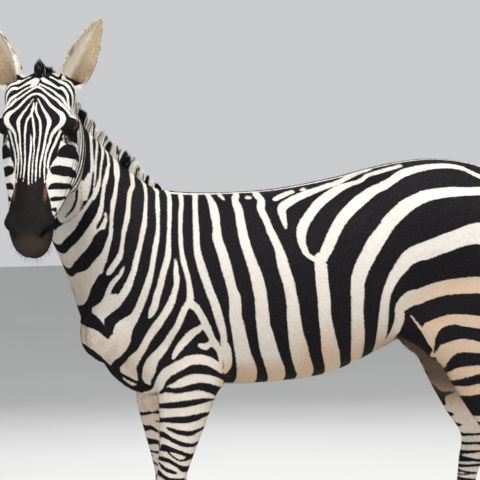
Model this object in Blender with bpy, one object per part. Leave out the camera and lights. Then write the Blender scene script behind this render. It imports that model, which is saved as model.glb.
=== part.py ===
"""A standing zebra at life size, as a still museum model. Metres, +Z up, floor at Z = 0.

The zebra faces -X. Its left side is towards -Y, and its head is turned to the left.
The flesh is modelled whole, from lofts and muscle masses that are fused and smoothed, and is then
parted with thin cuts. Eyes, ears, hooves, mane, forelock and tail are pieces of their own.
"""

import math

import bmesh
import bpy
from mathutils import Matrix, Vector

# Where the middle of the model's box lies in the body's own frame.
BOX_MIDDLE = Vector((-0.0887, -0.0904, 0.0))

GAP = 0.0004  # between neighbouring nodes
BODY_VOXEL = 0.009
CUT_REACH = 0.45  # how far a cutter runs past the body

# The head's own frame: origin at the poll, S runs down the face, D out of the forehead.
POLL = Vector((-0.8215, -0.2525, 1.6255))
HEADING = math.radians(20.0)  # of the face, from -Y towards -X
HEAD_PITCH = math.radians(66.0)  # of the face below the horizontal
HEAD_TILT = math.radians(-0.6)
LEFT, RIGHT = -1, 1

EYE_RADIUS = 0.0215
EYE_S, EYE_SIDE, EYE_D = 0.152, 0.0980, -0.036

# ------------------------------------------------------------------ frames and lofts


def head_matrix():
    """Head coordinates (side, D, S) to the body's frame. Side is positive to the zebra's right."""
    level = Vector((-math.sin(HEADING), -math.cos(HEADING), 0.0))
    s_axis = level * math.cos(HEAD_PITCH) - Vector((0, 0, math.sin(HEAD_PITCH)))
    d_axis = level * math.sin(HEAD_PITCH) + Vector((0, 0, math.cos(HEAD_PITCH)))
    side = s_axis.cross(d_axis)
    turn = Matrix((side, d_axis, s_axis)).transposed()
    tilt = Matrix.Rotation(HEAD_TILT, 3, level)
    return Matrix.Translation(POLL) @ (tilt @ turn).to_4x4()


HEAD = head_matrix()
HEAD_BACK = HEAD.inverted()


def spline(keys, steps):
    """Catmull-Rom through rows of numbers, with `steps` rows for each key after the first."""
    rows = [keys[0], *keys, keys[-1]]
    made = []
    for i in range(1, len(rows) - 2):
        for j in range(steps):
            t = j / steps
            row = []
            for a, b, c, d in zip(rows[i - 1], rows[i], rows[i + 1], rows[i + 2]):
                row.append(
                    b
                    + 0.5 * t * (c - a)
                    + t * t * (a - 2.5 * b + 2 * c - 0.5 * d)
                    + t * t * t * (-0.5 * a + 1.5 * b - 1.5 * c + 0.5 * d)
                )
            made.append(row)
    made.append(list(keys[-1]))
    return made


def new_object(name, mesh):
    made = bpy.data.objects.new(name, mesh)
    bpy.context.scene.collection.objects.link(made)
    return made


def object_of(name, bm, matrix=None):
    if matrix:
        bm.transform(matrix)
    bmesh.ops.recalc_face_normals(bm, faces=bm.faces)
    mesh = bpy.data.meshes.new(name)
    bm.to_mesh(mesh)
    bm.free()
    return new_object(name, mesh)


def bridge(bm, rings):
    """Quads between neighbouring rings, and a cap on each end."""
    for lower, upper in zip(rings, rings[1:]):
        for i in range(len(lower)):
            j = (i + 1) % len(lower)
            bm.faces.new((lower[i], lower[j], upper[j], upper[i]))
    bm.faces.new(rings[0][::-1])
    bm.faces.new(rings[-1])


def loft(name, keys, steps=4, sides=28, matrix=None):
    """A closed tube through rings. Each key is the ring's upper (or front) point, its lower (or rear)
    point, its half width, how high its widest place lies (0 to 1), and the roundness of its upper and
    lower halves: 1 is an ellipse, less is boxier and more is sharper."""
    rows = spline([[*top, *low, *rest] for top, low, *rest in keys], steps)
    middles = [(Vector(r[0:3]) + Vector(r[3:6])) / 2 for r in rows]
    bm = bmesh.new()
    rings = []
    for k, row in enumerate(rows):
        top, low = Vector(row[0:3]), Vector(row[3:6])
        half_width, widest, upper, lower = row[6:10]
        run = middles[min(k + 1, len(rows) - 1)] - middles[max(k - 1, 0)]
        side = (top - low).cross(run).normalized() * half_width
        waist = low.lerp(top, widest)
        ring = []
        for i in range(sides):
            angle = 2 * math.pi * i / sides
            up, out = math.sin(angle), math.cos(angle)
            power = upper if up > 0 else lower
            reach = math.copysign(abs(out) ** power, out)
            rise = (top - waist) * up if up > 0 else (waist - low) * up
            ring.append(bm.verts.new(waist + rise + side * reach))
        rings.append(ring)
    bridge(bm, rings)
    return object_of(name, bm, matrix)


def mass(name, centre, radii, turn=(0, 0, 0), matrix=None, detail=3):
    """A muscle or bone as an ellipsoid, turned by X, Y and Z angles in degrees."""
    bm = bmesh.new()
    bmesh.ops.create_icosphere(bm, subdivisions=detail, radius=1.0)
    euler = [math.radians(a) for a in turn]
    place = Matrix.Translation(centre)
    for angle, axis in zip(euler, "XYZ"):
        place = place @ Matrix.Rotation(angle, 4, axis)
    place = place @ Matrix.Diagonal((*radii, 1.0))
    return object_of(name, bm, matrix @ place if matrix else place)


# ------------------------------------------------------------------ the trunk and neck

# (x, z) of the top line and of the under line, half width, widest, upper and lower roundness
TRUNK_KEYS = [
    ((0.712, 1.150), (0.722, 1.020), 0.042, 0.5, 1.0, 1.0),
    ((0.690, 1.215), (0.705, 0.930), 0.100, 0.5, 1.0, 1.0),
    ((0.640, 1.272), (0.645, 0.880), 0.150, 0.50, 1.0, 1.0),
    ((0.540, 1.331), (0.530, 0.850), 0.188, 0.52, 0.95, 1.0),
    ((0.400, 1.353), (0.370, 0.842), 0.212, 0.52, 0.88, 1.0),
    ((0.250, 1.338), (0.235, 0.775), 0.224, 0.50, 0.86, 1.0),
    ((0.080, 1.299), (0.060, 0.702), 0.245, 0.46, 0.92, 0.95),
    ((-0.100, 1.270), (-0.120, 0.680), 0.252, 0.44, 0.98, 0.95),
    ((-0.270, 1.264), (-0.300, 0.678), 0.230, 0.44, 1.05, 1.0),
    ((-0.390, 1.270), (-0.435, 0.672), 0.202, 0.44, 1.15, 1.0),
    ((-0.470, 1.288), (-0.565, 0.718), 0.180, 0.44, 1.20, 1.0),
    ((-0.548, 1.347), (-0.668, 0.850), 0.156, 0.42, 1.20, 1.0),
]
# The neck bends to the left, so its keys have all three coordinates.
NECK_KEYS = [
    ((-0.625, -0.015, 1.420), (-0.716, -0.020, 1.005), 0.132, 0.42, 1.25, 1.0),
    ((-0.697, -0.055, 1.496), (-0.766, -0.040, 1.130), 0.112, 0.42, 1.25, 1.0),
    ((-0.756, -0.116, 1.565), (-0.795, -0.060, 1.250), 0.104, 0.44, 1.15, 1.0),
    ((-0.796, -0.186, 1.612), (-0.800, -0.100, 1.345), 0.094, 0.48, 1.0, 1.0),
    ((-0.824, -0.237, 1.610), (-0.822, -0.155, 1.400), 0.078, 0.50, 1.0, 1.0),
]


def torso_keys():
    trunk = [((x, 0, z), (u, 0, v), *rest) for (x, z), (u, v), *rest in TRUNK_KEYS]
    return trunk + NECK_KEYS


def torso_masses():
    made = []
    for side in (LEFT, RIGHT):
        made += [
            mass("shoulder", (-0.425, side * 0.140, 1.00), (0.110, 0.066, 0.190), (side * 15, 14, 0)),
            mass("upper_arm", (-0.475, side * 0.122, 0.84), (0.130, 0.074, 0.130), (0, -20, 0)),
            mass("breast", (-0.605, side * 0.070, 0.870), (0.080, 0.074, 0.115), (0, 20, 0)),
            mass("brisket", (-0.515, side * 0.055, 0.760), (0.125, 0.070, 0.090), (0, 38, 0)),
            mass("triceps", (-0.34, side * 0.135, 0.86), (0.110, 0.066, 0.160), (0, 20, 0)),
            mass("haunch", (0.45, side * 0.105, 1.10), (0.240, 0.118, 0.195), (0, 10, 0)),
            mass("hip", (0.295, side * 0.125, 1.210), (0.110, 0.058, 0.075), (side * 20, 12, 0)),
            mass("buttock", (0.630, side * 0.080, 1.02), (0.100, 0.078, 0.180)),
            mass("flank", (0.300, side * 0.125, 0.900), (0.125, 0.056, 0.095), (0, 50, 0)),
        ]
    return made


# ------------------------------------------------------------------ the legs

# (x, z) of the leg's front and of its rear, half width, and the y of its middle for a left leg
FORE_KEYS = [
    ((-0.540, 0.900), (-0.290, 0.880), 0.066, -0.118),
    ((-0.525, 0.800), (-0.274, 0.775), 0.076, -0.127),
    ((-0.488, 0.715), (-0.286, 0.700), 0.070, -0.130),
    ((-0.478, 0.620), (-0.318, 0.620), 0.060, -0.130),
    ((-0.479, 0.520), (-0.358, 0.520), 0.049, -0.129),
    ((-0.486, 0.435), (-0.391, 0.435), 0.042, -0.128),
    ((-0.493, 0.392), (-0.398, 0.392), 0.043, -0.128),
    ((-0.495, 0.355), (-0.396, 0.352), 0.044, -0.128),
    ((-0.480, 0.305), (-0.405, 0.305), 0.033, -0.128),
    ((-0.475, 0.240), (-0.417, 0.240), 0.0240, -0.128),
    ((-0.478, 0.170), (-0.416, 0.165), 0.0265, -0.128),
    ((-0.489, 0.134), (-0.413, 0.122), 0.032, -0.128),
    ((-0.505, 0.096), (-0.446, 0.074), 0.027, -0.128),
    ((-0.528, 0.066), (-0.456, 0.043), 0.034, -0.128),
    ((-0.536, 0.050), (-0.458, 0.028), 0.034, -0.128),
]
HIND_KEYS = [
    ((0.220, 1.080), (0.660, 1.120), 0.076, -0.098),
    ((0.238, 0.985), (0.705, 1.010), 0.088, -0.107),
    ((0.282, 0.890), (0.700, 0.900), 0.092, -0.116),
    ((0.340, 0.800), (0.672, 0.805), 0.084, -0.122),
    ((0.392, 0.715), (0.640, 0.730), 0.069, -0.126),
    ((0.448, 0.620), (0.622, 0.660), 0.054, -0.127),
    ((0.503, 0.540), (0.632, 0.595), 0.041, -0.125),
    ((0.536, 0.497), (0.658, 0.548), 0.036, -0.123),
    ((0.548, 0.460), (0.664, 0.492), 0.040, -0.121),
    ((0.546, 0.415), (0.630, 0.405), 0.037, -0.120),
    ((0.545, 0.365), (0.611, 0.360), 0.029, -0.120),
    ((0.542, 0.270), (0.600, 0.270), 0.0245, -0.120),
    ((0.535, 0.178), (0.597, 0.172), 0.0265, -0.120),
    ((0.525, 0.142), (0.601, 0.128), 0.033, -0.120),
    ((0.508, 0.101), (0.568, 0.078), 0.027, -0.120),
    ((0.485, 0.070), (0.557, 0.045), 0.034, -0.120),
    ((0.477, 0.052), (0.555, 0.029), 0.034, -0.120),
]
# Each leg's stance: the height its swing begins at, and how far back it has gone at the floor.
STANCE = {
    ("fore", LEFT): (0.60, 0.0),
    ("fore", RIGHT): (0.50, 0.155),
    ("hind", LEFT): (0.80, 0.0),
    ("hind", RIGHT): (0.80, -0.075),
}
TOE_SLOPE = 0.036  # how far the toe lies ahead of the coronet
HOOF_FLARE = 0.006


def stance(pair, side, z):
    start, reach = STANCE[pair, side]
    t = 1 - z / start
    return reach * (1.15 * t - 0.15 * t * t if t > 0 else max(t, -0.2))


def leg_keys(pair, side):
    """The leg's loft keys, with its own stance."""
    keys = FORE_KEYS if pair == "fore" else HIND_KEYS
    made = []
    for (fx, fz), (rx, rz), half_width, y in keys:
        swing = stance(pair, side, (fz + rz) / 2)
        front = (fx + swing, -side * y, fz)
        rear = (rx + swing, -side * y, rz)
        made.append((front, rear, half_width, 0.5, 1.0, 1.0))
    return made


def leg_masses(side):
    hock = 0.645 + stance("hind", side, 0.52)
    knee = -0.478 + stance("fore", side, 0.36)
    ergot = -0.418 + stance("fore", side, 0.125)
    return [
        mass("elbow", (-0.312, side * 0.142, 0.720), (0.040, 0.038, 0.050)),
        mass("hock", (hock, side * 0.122, 0.520), (0.024, 0.020, 0.038), (0, 20, 0)),
        mass("knee", (knee, side * 0.128, 0.360), (0.030, 0.038, 0.036)),
        mass("ergot", (ergot, side * 0.128, 0.125), (0.016, 0.022, 0.018)),
        mass("stifle", (0.390, side * 0.132, 0.830), (0.085, 0.066, 0.105), (0, -30, 0)),
    ]


def coronet(pair, side):
    """The leg's last ring but one, where the hoof begins: front point, rear point and half width."""
    front, rear, half_width = leg_keys(pair, side)[-2][:3]
    return Vector(front), Vector(rear), half_width


# ------------------------------------------------------------------ the head

# S, then D of the face and of the jaw line, half width, widest, upper and lower roundness
HEAD_KEYS = [
    (-0.022, -0.032, -0.150, 0.055, 0.60, 1.0, 1.0),
    (0.012, -0.006, -0.190, 0.082, 0.64, 0.85, 1.0),
    (0.060, 0.008, -0.222, 0.096, 0.68, 0.75, 1.0),
    (0.110, 0.014, -0.240, 0.102, 0.68, 0.70, 0.95),
    (0.160, 0.014, -0.244, 0.106, 0.62, 0.75, 0.95),
    (0.215, 0.007, -0.232, 0.109, 0.50, 0.90, 0.82),
    (0.270, 0.001, -0.211, 0.104, 0.43, 1.10, 0.76),
    (0.325, -0.003, -0.186, 0.091, 0.38, 1.20, 0.74),
    (0.375, -0.005, -0.158, 0.078, 0.38, 1.15, 0.78),
    (0.420, -0.007, -0.136, 0.067, 0.44, 0.95, 0.88),
    (0.460, -0.011, -0.125, 0.064, 0.50, 0.85, 0.90),
    (0.498, -0.022, -0.118, 0.057, 0.50, 0.90, 0.90),
    (0.524, -0.038, -0.108, 0.045, 0.50, 1.0, 1.0),
    (0.540, -0.056, -0.092, 0.025, 0.50, 1.0, 1.0),
]


def sway(s):
    """How far the lips lean to the zebra's left."""
    return -0.012 * max(0.0, min(1.0, (s - 0.43) / 0.10))


def head_source():
    keys = [((sway(s), d, s), (sway(s), j, s), *rest) for s, d, j, *rest in HEAD_KEYS]
    made = [loft("skull", keys, matrix=HEAD)]
    for side in (LEFT, RIGHT):
        made += [
            mass("cheek", (side * 0.079, -0.160, 0.190), (0.030, 0.088, 0.122), matrix=HEAD),
            mass("brow", (side * 0.080, -0.014, 0.136), (0.025, 0.020, 0.040), matrix=HEAD),
            mass("orbit", (side * 0.087, -0.040, 0.152), (0.024, 0.032, 0.040), matrix=HEAD),
            mass("cheekbone", (side * 0.086, -0.080, 0.245), (0.017, 0.018, 0.085), (0, side * -14, 0), HEAD),
            mass("nostril", (side * 0.044, -0.046, 0.445), (0.024, 0.032, 0.042), matrix=HEAD),
            mass("temple", (side * 0.078, -0.035, 0.066), (0.027, 0.045, 0.055), matrix=HEAD),
        ]
    made += [
        mass("upper_lip", (sway(0.510), -0.060, 0.510), (0.049, 0.038, 0.036), matrix=HEAD),
        mass("chin", (sway(0.496), -0.112, 0.496), (0.038, 0.028, 0.038), matrix=HEAD),
    ]
    return made


# ------------------------------------------------------------------ fusing, parting and finishing


def select_only(*objects):
    bpy.ops.object.select_all(action="DESELECT")
    for o in objects:
        o.select_set(True)
    bpy.context.view_layer.objects.active = objects[0]


def joined(name, objects):
    select_only(*objects)
    bpy.ops.object.join()
    objects[0].name = name
    return objects[0]


def apply(obj, kind, **settings):
    select_only(obj)
    modifier = obj.modifiers.new(kind.lower(), kind)
    for key, value in settings.items():
        setattr(modifier, key, value)
    bpy.ops.object.modifier_apply(modifier=modifier.name)


def fade(value, low, high):
    return max(0.0, min(1.0, (value - low) / (high - low)))


def head_share(point):
    """1 on the head, falling to 0 on the neck and elsewhere."""
    side, d, along = HEAD_BACK @ point
    return fade(along, -0.04, 0.02) * fade(d, -0.29, -0.24) * fade(-abs(side), -0.20, -0.15)


def on_head(point):
    return head_share(point) > 0.3


def softness(point):
    """How far the fusing smooths a place: fully on the trunk, little on the head and lower legs."""
    return 0.06 + 0.94 * fade(point.z, 0.55, 0.80) * (1 - 0.88 * head_share(point))


def fused(name, sources, voxel, rounds):
    """One smooth skin over all the sources."""
    whole = joined(name, sources)
    apply(whole, "REMESH", mode="VOXEL", voxel_size=voxel)
    group = whole.vertex_groups.new(name="soft")
    for v in whole.data.vertices:
        group.add([v.index], softness(v.co), "REPLACE")
    apply(whole, "SMOOTH", factor=0.5, iterations=rounds, vertex_group="soft")
    whole.vertex_groups.clear()
    return whole


def simplified(obj, faces, inside):
    """Brings the faces whose middles pass the test down to a number."""
    apply(obj, "TRIANGULATE")
    group = obj.vertex_groups.new(name="here")
    chosen = [v.index for v in obj.data.vertices if inside(v.co)]
    group.add(chosen, 1.0, "REPLACE")
    picked = set(chosen)
    count = sum(all(i in picked for i in p.vertices) for p in obj.data.polygons)
    rest = len(obj.data.polygons) - count
    ratio = (faces + rest) / len(obj.data.polygons)
    apply(obj, "DECIMATE", ratio=min(1.0, ratio), vertex_group="here")
    obj.vertex_groups.clear()


def prism(name, outline, low, high, matrix=None, grow=0.0):
    """A cutter: a convex outline in (x, z), run from y = low to y = high, grown outwards by `grow`."""
    middle = Vector((sum(p[0] for p in outline), sum(p[1] for p in outline))) / len(outline)
    grown = []
    for p in outline:
        out = Vector(p) - middle
        grown.append(middle + out * (1 + grow / out.length))
    bm = bmesh.new()
    rings = []
    for y in (low - grow, high + grow):
        rings.append([bm.verts.new((p.x, y, p.y)) for p in grown])
    bridge(bm, rings)
    return object_of(name, bm, matrix)


def boolean(obj, cutter, operation):
    apply(obj, "BOOLEAN", object=cutter, operation=operation, solver="EXACT")


def copy_of(obj, name):
    made = new_object(name, obj.data.copy())
    made.matrix_world = obj.matrix_world
    return made


def discard(*objects):
    for o in objects:
        bpy.data.objects.remove(o)


def parted(obj, name, cutter_at):
    """Takes the piece of obj inside the cutter as a new object, and leaves a thin gap round it."""
    piece = copy_of(obj, name)
    inner, outer = cutter_at(0.0), cutter_at(GAP)
    boolean(piece, inner, "INTERSECT")
    boolean(obj, outer, "DIFFERENCE")
    discard(inner, outer)
    return piece


def main_body_only(obj):
    """Keeps the largest loose piece."""
    bm = bmesh.new()
    bm.from_mesh(obj.data)
    seen, best = set(), []
    for start in bm.verts:
        if start in seen:
            continue
        island, todo = [], [start]
        seen.add(start)
        while todo:
            v = todo.pop()
            island.append(v)
            for e in v.link_edges:
                w = e.other_vert(v)
                if w not in seen:
                    seen.add(w)
                    todo.append(w)
        if len(island) > len(best):
            best = island
    keep = set(best)
    bmesh.ops.delete(bm, geom=[v for v in bm.verts if v not in keep], context="VERTS")
    bm.to_mesh(obj.data)
    bm.free()


def material(name, colour, roughness):
    made = bpy.data.materials.new(name)
    made.use_nodes = True
    shader = made.node_tree.nodes["Principled BSDF"]
    shader.inputs["Base Color"].default_value = (*colour, 1.0)
    shader.inputs["Roughness"].default_value = roughness
    return made


def finish(obj, slot):
    obj.data.materials.clear()
    obj.data.materials.append(slot)
    obj.data.shade_smooth()
    obj.data.set_sharp_from_angle(angle=math.radians(50))
    obj.data.transform(Matrix.Translation(-BOX_MIDDLE))


# ------------------------------------------------------------------ pieces of their own


def hoof(name, pair, side):
    """A narrow upright hoof, from the slanted coronet to a flat sole on the floor."""
    front, rear, half_width = coronet(pair, side)
    y = front.y
    rows = []
    for t, flare in ((0.0, 0.0), (0.12, 0.6), (0.5, 0.8), (1.0, 1.0)):
        rise = 1 - t
        grow = HOOF_FLARE * flare
        toe = (front.x - TOE_SLOPE * t - grow, y, (front.z - GAP) * rise)
        heel = (rear.x + grow * 0.6, y, (rear.z - GAP) * rise)
        rows.append((toe, heel, half_width + 0.002 + grow, 0.45, 0.85, 0.75))
    return loft(name, rows, steps=1, sides=20)


# Along the ear from its root: (distance, half width, half arc of the cup in degrees)
EAR_KEYS = [
    (-0.020, 0.028, 120),
    (0.010, 0.037, 118),
    (0.045, 0.047, 103),
    (0.090, 0.047, 88),
    (0.135, 0.039, 74),
    (0.175, 0.027, 62),
    (0.200, 0.017, 55),
    (0.212, 0.010, 50),
    (0.217, 0.003, 50),
]
EAR_ROOT = (0.072, -0.048, 0.022)  # side, D and S
EAR_SPLAY, EAR_BACK, EAR_OPEN = 27, 8, 28  # degrees
EAR_WALL = 0.0045


def ear(name, side):
    """A cupped leaf that stands up from the head, open to the front and a little outwards."""
    columns = 8
    up = HEAD.to_3x3().inverted() @ Vector((0, 0, 1))
    ahead = HEAD.to_3x3().inverted() @ Vector((-math.sin(HEADING), -math.cos(HEADING), 0))
    across = Vector((side, 0, 0))
    across = (across - up * across.dot(up)).normalized()
    splay, open_out, back = (math.radians(a) for a in (EAR_SPLAY, EAR_OPEN, EAR_BACK))
    run = (up * math.cos(splay) + across * math.sin(splay)).normalized()
    run = (run - ahead * math.sin(back)).normalized()
    face = ahead * math.cos(open_out) + across * math.sin(open_out)
    face = (face - run * face.dot(run)).normalized()
    width = run.cross(face)
    root = Vector((side * EAR_ROOT[0], EAR_ROOT[1], EAR_ROOT[2]))
    bm = bmesh.new()
    rings = []
    for along, half, arc in spline([list(k) for k in EAR_KEYS], 1):
        arc = math.radians(arc)
        radius = half / math.sin(min(arc, math.pi / 2))
        wall = min(EAR_WALL, radius * 0.5)
        outer, inner = [], []
        for c in range(columns + 1):
            a = arc * (2 * c / columns - 1)
            spot = width * math.sin(a) - face * math.cos(a)
            middle = root + run * along + face * radius * 0.5
            outer.append(bm.verts.new(middle + spot * radius))
            inner.append(bm.verts.new(middle + spot * (radius - wall)))
        rings.append(outer + inner[::-1])
    bridge(bm, rings)
    return object_of(name, bm, HEAD)


def crest_line():
    """The top of the neck from the withers to the poll, read from the torso's own loft."""
    rows = spline([[*top, *low] for top, low, *_ in torso_keys()], 4)
    return [(Vector(r[0:3]), Vector(r[3:6])) for r in rows]


MANE_FROM, MANE_TO = 38, 63  # rows of the torso's loft that the mane stands on


def mane(name):
    """A stiff upright brush along the crest."""
    line = crest_line()[MANE_FROM:MANE_TO]
    keys = []
    for i, (top, low) in enumerate(line):
        t = i / (len(line) - 1)
        up = (top - low).normalized()
        height = 0.038 * min(1.0, 0.10 + 4.0 * t, 0.7 + 6.0 * (1.04 - t))
        keys.append((top + up * height, top - up * 0.030, 0.012 + 0.006 * math.sin(math.pi * t), 0.3, 0.8, 1.0))
    return loft(name, keys, steps=1, sides=10)


# The forelock's height over the poll, how far it leans forwards, and its radius
FORELOCK_KEYS = [(-0.022, -0.002, 0.016), (0.008, 0.000, 0.020), (0.030, 0.006, 0.017), (0.048, 0.014, 0.010), (0.056, 0.019, 0.003)]


def forelock(name):
    """The mane's last tuft, standing over the forehead and leaning a little forwards."""
    turn = HEAD.to_3x3().inverted()
    up = turn @ Vector((0, 0, 1))
    ahead = turn @ Vector((-math.sin(HEADING), -math.cos(HEADING), 0))
    keys = []
    for rise, lean, r in FORELOCK_KEYS:
        middle = Vector((0, -0.014, 0.006)) + up * rise + ahead * lean
        keys.append((middle + ahead * r, middle - ahead * r, r * 0.85, 0.5, 1.0, 1.0))
    return loft(name, keys, steps=2, sides=10, matrix=HEAD)


TAIL_LINE = [(0.640, 1.245), (0.690, 1.228), (0.730, 1.168), (0.748, 1.065), (0.750, 0.955), (0.746, 0.865)]
TAIL_THICKNESS = [0.036, 0.034, 0.029, 0.023, 0.018, 0.016]
TASSEL_LINE = [(0.748, 0.920), (0.748, 0.840), (0.750, 0.760), (0.750, 0.680), (0.748, 0.600), (0.744, 0.530)]
TASSEL_THICKNESS = [0.023, 0.030, 0.036, 0.036, 0.028, 0.008]


def tail_piece(name, line, thickness):
    keys = []
    for i, ((x, z), r) in enumerate(zip(line, thickness)):
        before, after = line[max(i - 1, 0)], line[min(i + 1, len(line) - 1)]
        run = Vector((after[0] - before[0], after[1] - before[1])).normalized()
        out = Vector((-run.y, run.x)) * r
        keys.append(
            ((x + out.x, 0, z + out.y), (x - out.x, 0, z - out.y), r, 0.5, 1.0, 1.0)
        )
    return loft(name, keys, steps=2, sides=10)


def eye(name, side):
    return mass(name, (side * EYE_SIDE, EYE_D, EYE_S), (EYE_RADIUS,) * 3, matrix=HEAD, detail=2)


def carved(obj, *others):
    """Cuts each neighbour, with the gap round it, out of obj."""
    for other in others:
        cutter = copy_of(other, "carver")
        apply(cutter, "DISPLACE", strength=GAP, mid_level=0.0)
        boolean(obj, cutter, "DIFFERENCE")
        discard(cutter)
    main_body_only(obj)


# ------------------------------------------------------------------ the model

# Convex outlines of the cutters: (x, z) in the body's frame, and (D, S) in the head's.
NECK_CUT = [(-0.205, 1.90), (-0.870, 0.50), (-1.600, 0.50), (-1.600, 1.90)]
HEAD_CUT = [(0.150, -0.105), (-0.243, 0.085), (-0.243, 0.700), (0.150, 0.700)]
FORE_CUT = [(-0.700, 0.725), (-0.200, 0.655), (-0.200, -0.100), (-0.900, -0.100)]
HIND_CUT = [(0.262, 0.745), (0.850, 0.965), (0.850, -0.100), (0.262, -0.100)]
FORE_INNER, HIND_INNER = 0.045, 0.038  # where the leg cutters begin, out from the middle
SWAP = Matrix(((0, 1, 0, 0), (1, 0, 0, 0), (0, 0, 1, 0), (0, 0, 0, 1)))  # (D, side, S) to (side, D, S)

HEAD_FACES, BODY_FACES = 1320, 2800


def leg_cutter(pair, side):
    outline = FORE_CUT if pair == "fore" else HIND_CUT
    inner = FORE_INNER if pair == "fore" else HIND_INNER
    low, high = sorted((side * inner, side * CUT_REACH))
    return lambda grow: prism("cutter", outline, low, high, grow=grow)


def head_cutter(grow):
    return prism("cutter", HEAD_CUT, -0.30, 0.30, matrix=HEAD @ SWAP, grow=grow)


def neck_cutter(grow):
    return prism("cutter", NECK_CUT, -0.80, 0.80, grow=grow)


def flesh():
    sources = [loft("torso", torso_keys())] + torso_masses() + head_source()
    for side in (LEFT, RIGHT):
        sources += [loft("leg", leg_keys(pair, side), sides=20) for pair in ("fore", "hind")]
        sources += leg_masses(side)
    return fused("trunk", sources, BODY_VOXEL, 30)


def build():
    for o in list(bpy.data.objects):
        bpy.data.objects.remove(o)
    coat = material("coat", (0.55, 0.52, 0.48), 0.7)
    horn = material("hoof", (0.09, 0.08, 0.07), 0.5)
    wet = material("eye", (0.02, 0.015, 0.01), 0.1)
    hair = material("hair", (0.10, 0.09, 0.09), 0.8)

    trunk = flesh()
    simplified(trunk, HEAD_FACES, on_head)
    simplified(trunk, BODY_FACES, lambda p: not on_head(p))
    tail = tail_piece("tail", TAIL_LINE, TAIL_THICKNESS)
    switch = tail_piece("tail_switch", TASSEL_LINE, TASSEL_THICKNESS)
    brush = mane("mane")
    tuft = forelock("forelock")
    carved(switch, tail)
    carved(tail, trunk)
    finish(tail, coat)
    finish(switch, hair)

    legs = []
    for side, word in ((LEFT, "left"), (RIGHT, "right")):
        for pair in ("fore", "hind"):
            leg = parted(trunk, f"{pair}leg_{word}", leg_cutter(pair, side))
            foot = hoof(f"{pair}hoof_{word}", pair, side)
            carved(leg, foot)
            finish(foot, horn)
            legs.append(leg)
    head = parted(trunk, "head", head_cutter)
    neck = parted(trunk, "neck", neck_cutter)
    for obj in (head, neck, trunk):
        carved(obj, brush)
    carved(head, tuft)
    for side, word in ((LEFT, "left"), (RIGHT, "right")):
        listener = ear(f"ear_{word}", side)
        ball = eye(f"eye_{word}", side)
        carved(head, listener, ball)
        carved(neck, listener)
        finish(listener, coat)
        finish(ball, wet)
    for obj in (trunk, neck, head, *legs):
        finish(obj, coat)
    carved(brush, tuft)
    finish(brush, hair)
    finish(tuft, hair)


if __name__ == "__main__":
    build()
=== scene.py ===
"""A standing zebra at life size: one skin, its short coat, mane, forelock, tail, eyes and hooves."""

import math

import bmesh
import bpy
import numpy as np
from mathutils import Matrix, Vector


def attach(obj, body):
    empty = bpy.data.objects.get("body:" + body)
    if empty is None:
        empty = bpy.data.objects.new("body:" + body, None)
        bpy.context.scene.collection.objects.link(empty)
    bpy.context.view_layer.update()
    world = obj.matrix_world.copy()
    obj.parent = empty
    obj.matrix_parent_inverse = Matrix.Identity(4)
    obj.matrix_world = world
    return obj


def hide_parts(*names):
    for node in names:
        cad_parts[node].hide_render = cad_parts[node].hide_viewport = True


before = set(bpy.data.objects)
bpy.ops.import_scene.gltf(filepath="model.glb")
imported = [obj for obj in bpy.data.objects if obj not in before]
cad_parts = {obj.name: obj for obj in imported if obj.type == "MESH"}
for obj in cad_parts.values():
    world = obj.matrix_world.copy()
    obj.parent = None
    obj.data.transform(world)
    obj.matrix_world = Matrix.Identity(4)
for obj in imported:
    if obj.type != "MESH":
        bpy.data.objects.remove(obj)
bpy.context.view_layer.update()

# The body's own frame, in which all is modelled, and its middle in the row's frame.
BOX_MIDDLE = Vector((-0.0887, -0.0904, 0.0))
LEFT, RIGHT = -1, 1
POLL = Vector((-0.8215, -0.2525, 1.6255))
HEADING = math.radians(20.0)
HEAD_PITCH = math.radians(66.0)
HEAD_TILT = math.radians(-0.6)
EYE_RADIUS = 0.0215
EYE_S, EYE_SIDE, EYE_D = 0.152, 0.0980, -0.036

VOXEL = 0.0034
SKIN_FACES = 192000
rng = np.random.default_rng(7)


# ------------------------------------------------------------------ camera, light and floor


def look_from(target, azimuth, elevation, distance, lens, roll):
    a, e = math.radians(azimuth), math.radians(elevation)
    back = Vector((math.sin(a) * math.cos(e), -math.cos(a) * math.cos(e), math.sin(e)))
    data = bpy.data.cameras.new("camera")
    data.sensor_width = 36.0
    data.lens = lens
    data.clip_end = 100.0
    made = bpy.data.objects.new("camera", data)
    bpy.context.scene.collection.objects.link(made)
    turn = (-back).to_track_quat("-Z", "Y").to_matrix()
    turn = turn @ Matrix.Rotation(math.radians(roll), 3, "Z").inverted()
    made.matrix_world = Matrix.Translation(Vector(target) + back * distance) @ turn.to_4x4()
    bpy.context.scene.camera = made


look_from((-0.1113, 0.0904, 1.115), -10.0, 2.5, 7.5, 185.625, 1.0)


def soft_light(name, place, size, power, colour):
    data = bpy.data.lights.new(name, "AREA")
    data.shape = "RECTANGLE"
    data.size, data.size_y = size
    data.energy = power
    data.color = colour
    made = bpy.data.objects.new(name, data)
    bpy.context.scene.collection.objects.link(made)
    made.location = place
    made.rotation_euler = (Vector((-0.1, 0.0, 0.9)) - Vector(place)).to_track_quat("-Z", "Y").to_euler()


soft_light("light_above", (0.3, -1.2, 4.6), (5.0, 4.0), 270, (1.0, 0.99, 0.97))
soft_light("light_front", (-3.8, -4.2, 2.8), (3.0, 3.0), 140, (0.97, 0.98, 1.0))
soft_light("light_side", (4.0, -3.2, 2.4), (3.0, 3.0), 95, (1.0, 0.98, 0.96))
soft_light("light_behind", (0.5, 4.2, 3.2), (4.0, 3.0), 110, (0.97, 0.98, 1.0))

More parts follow.
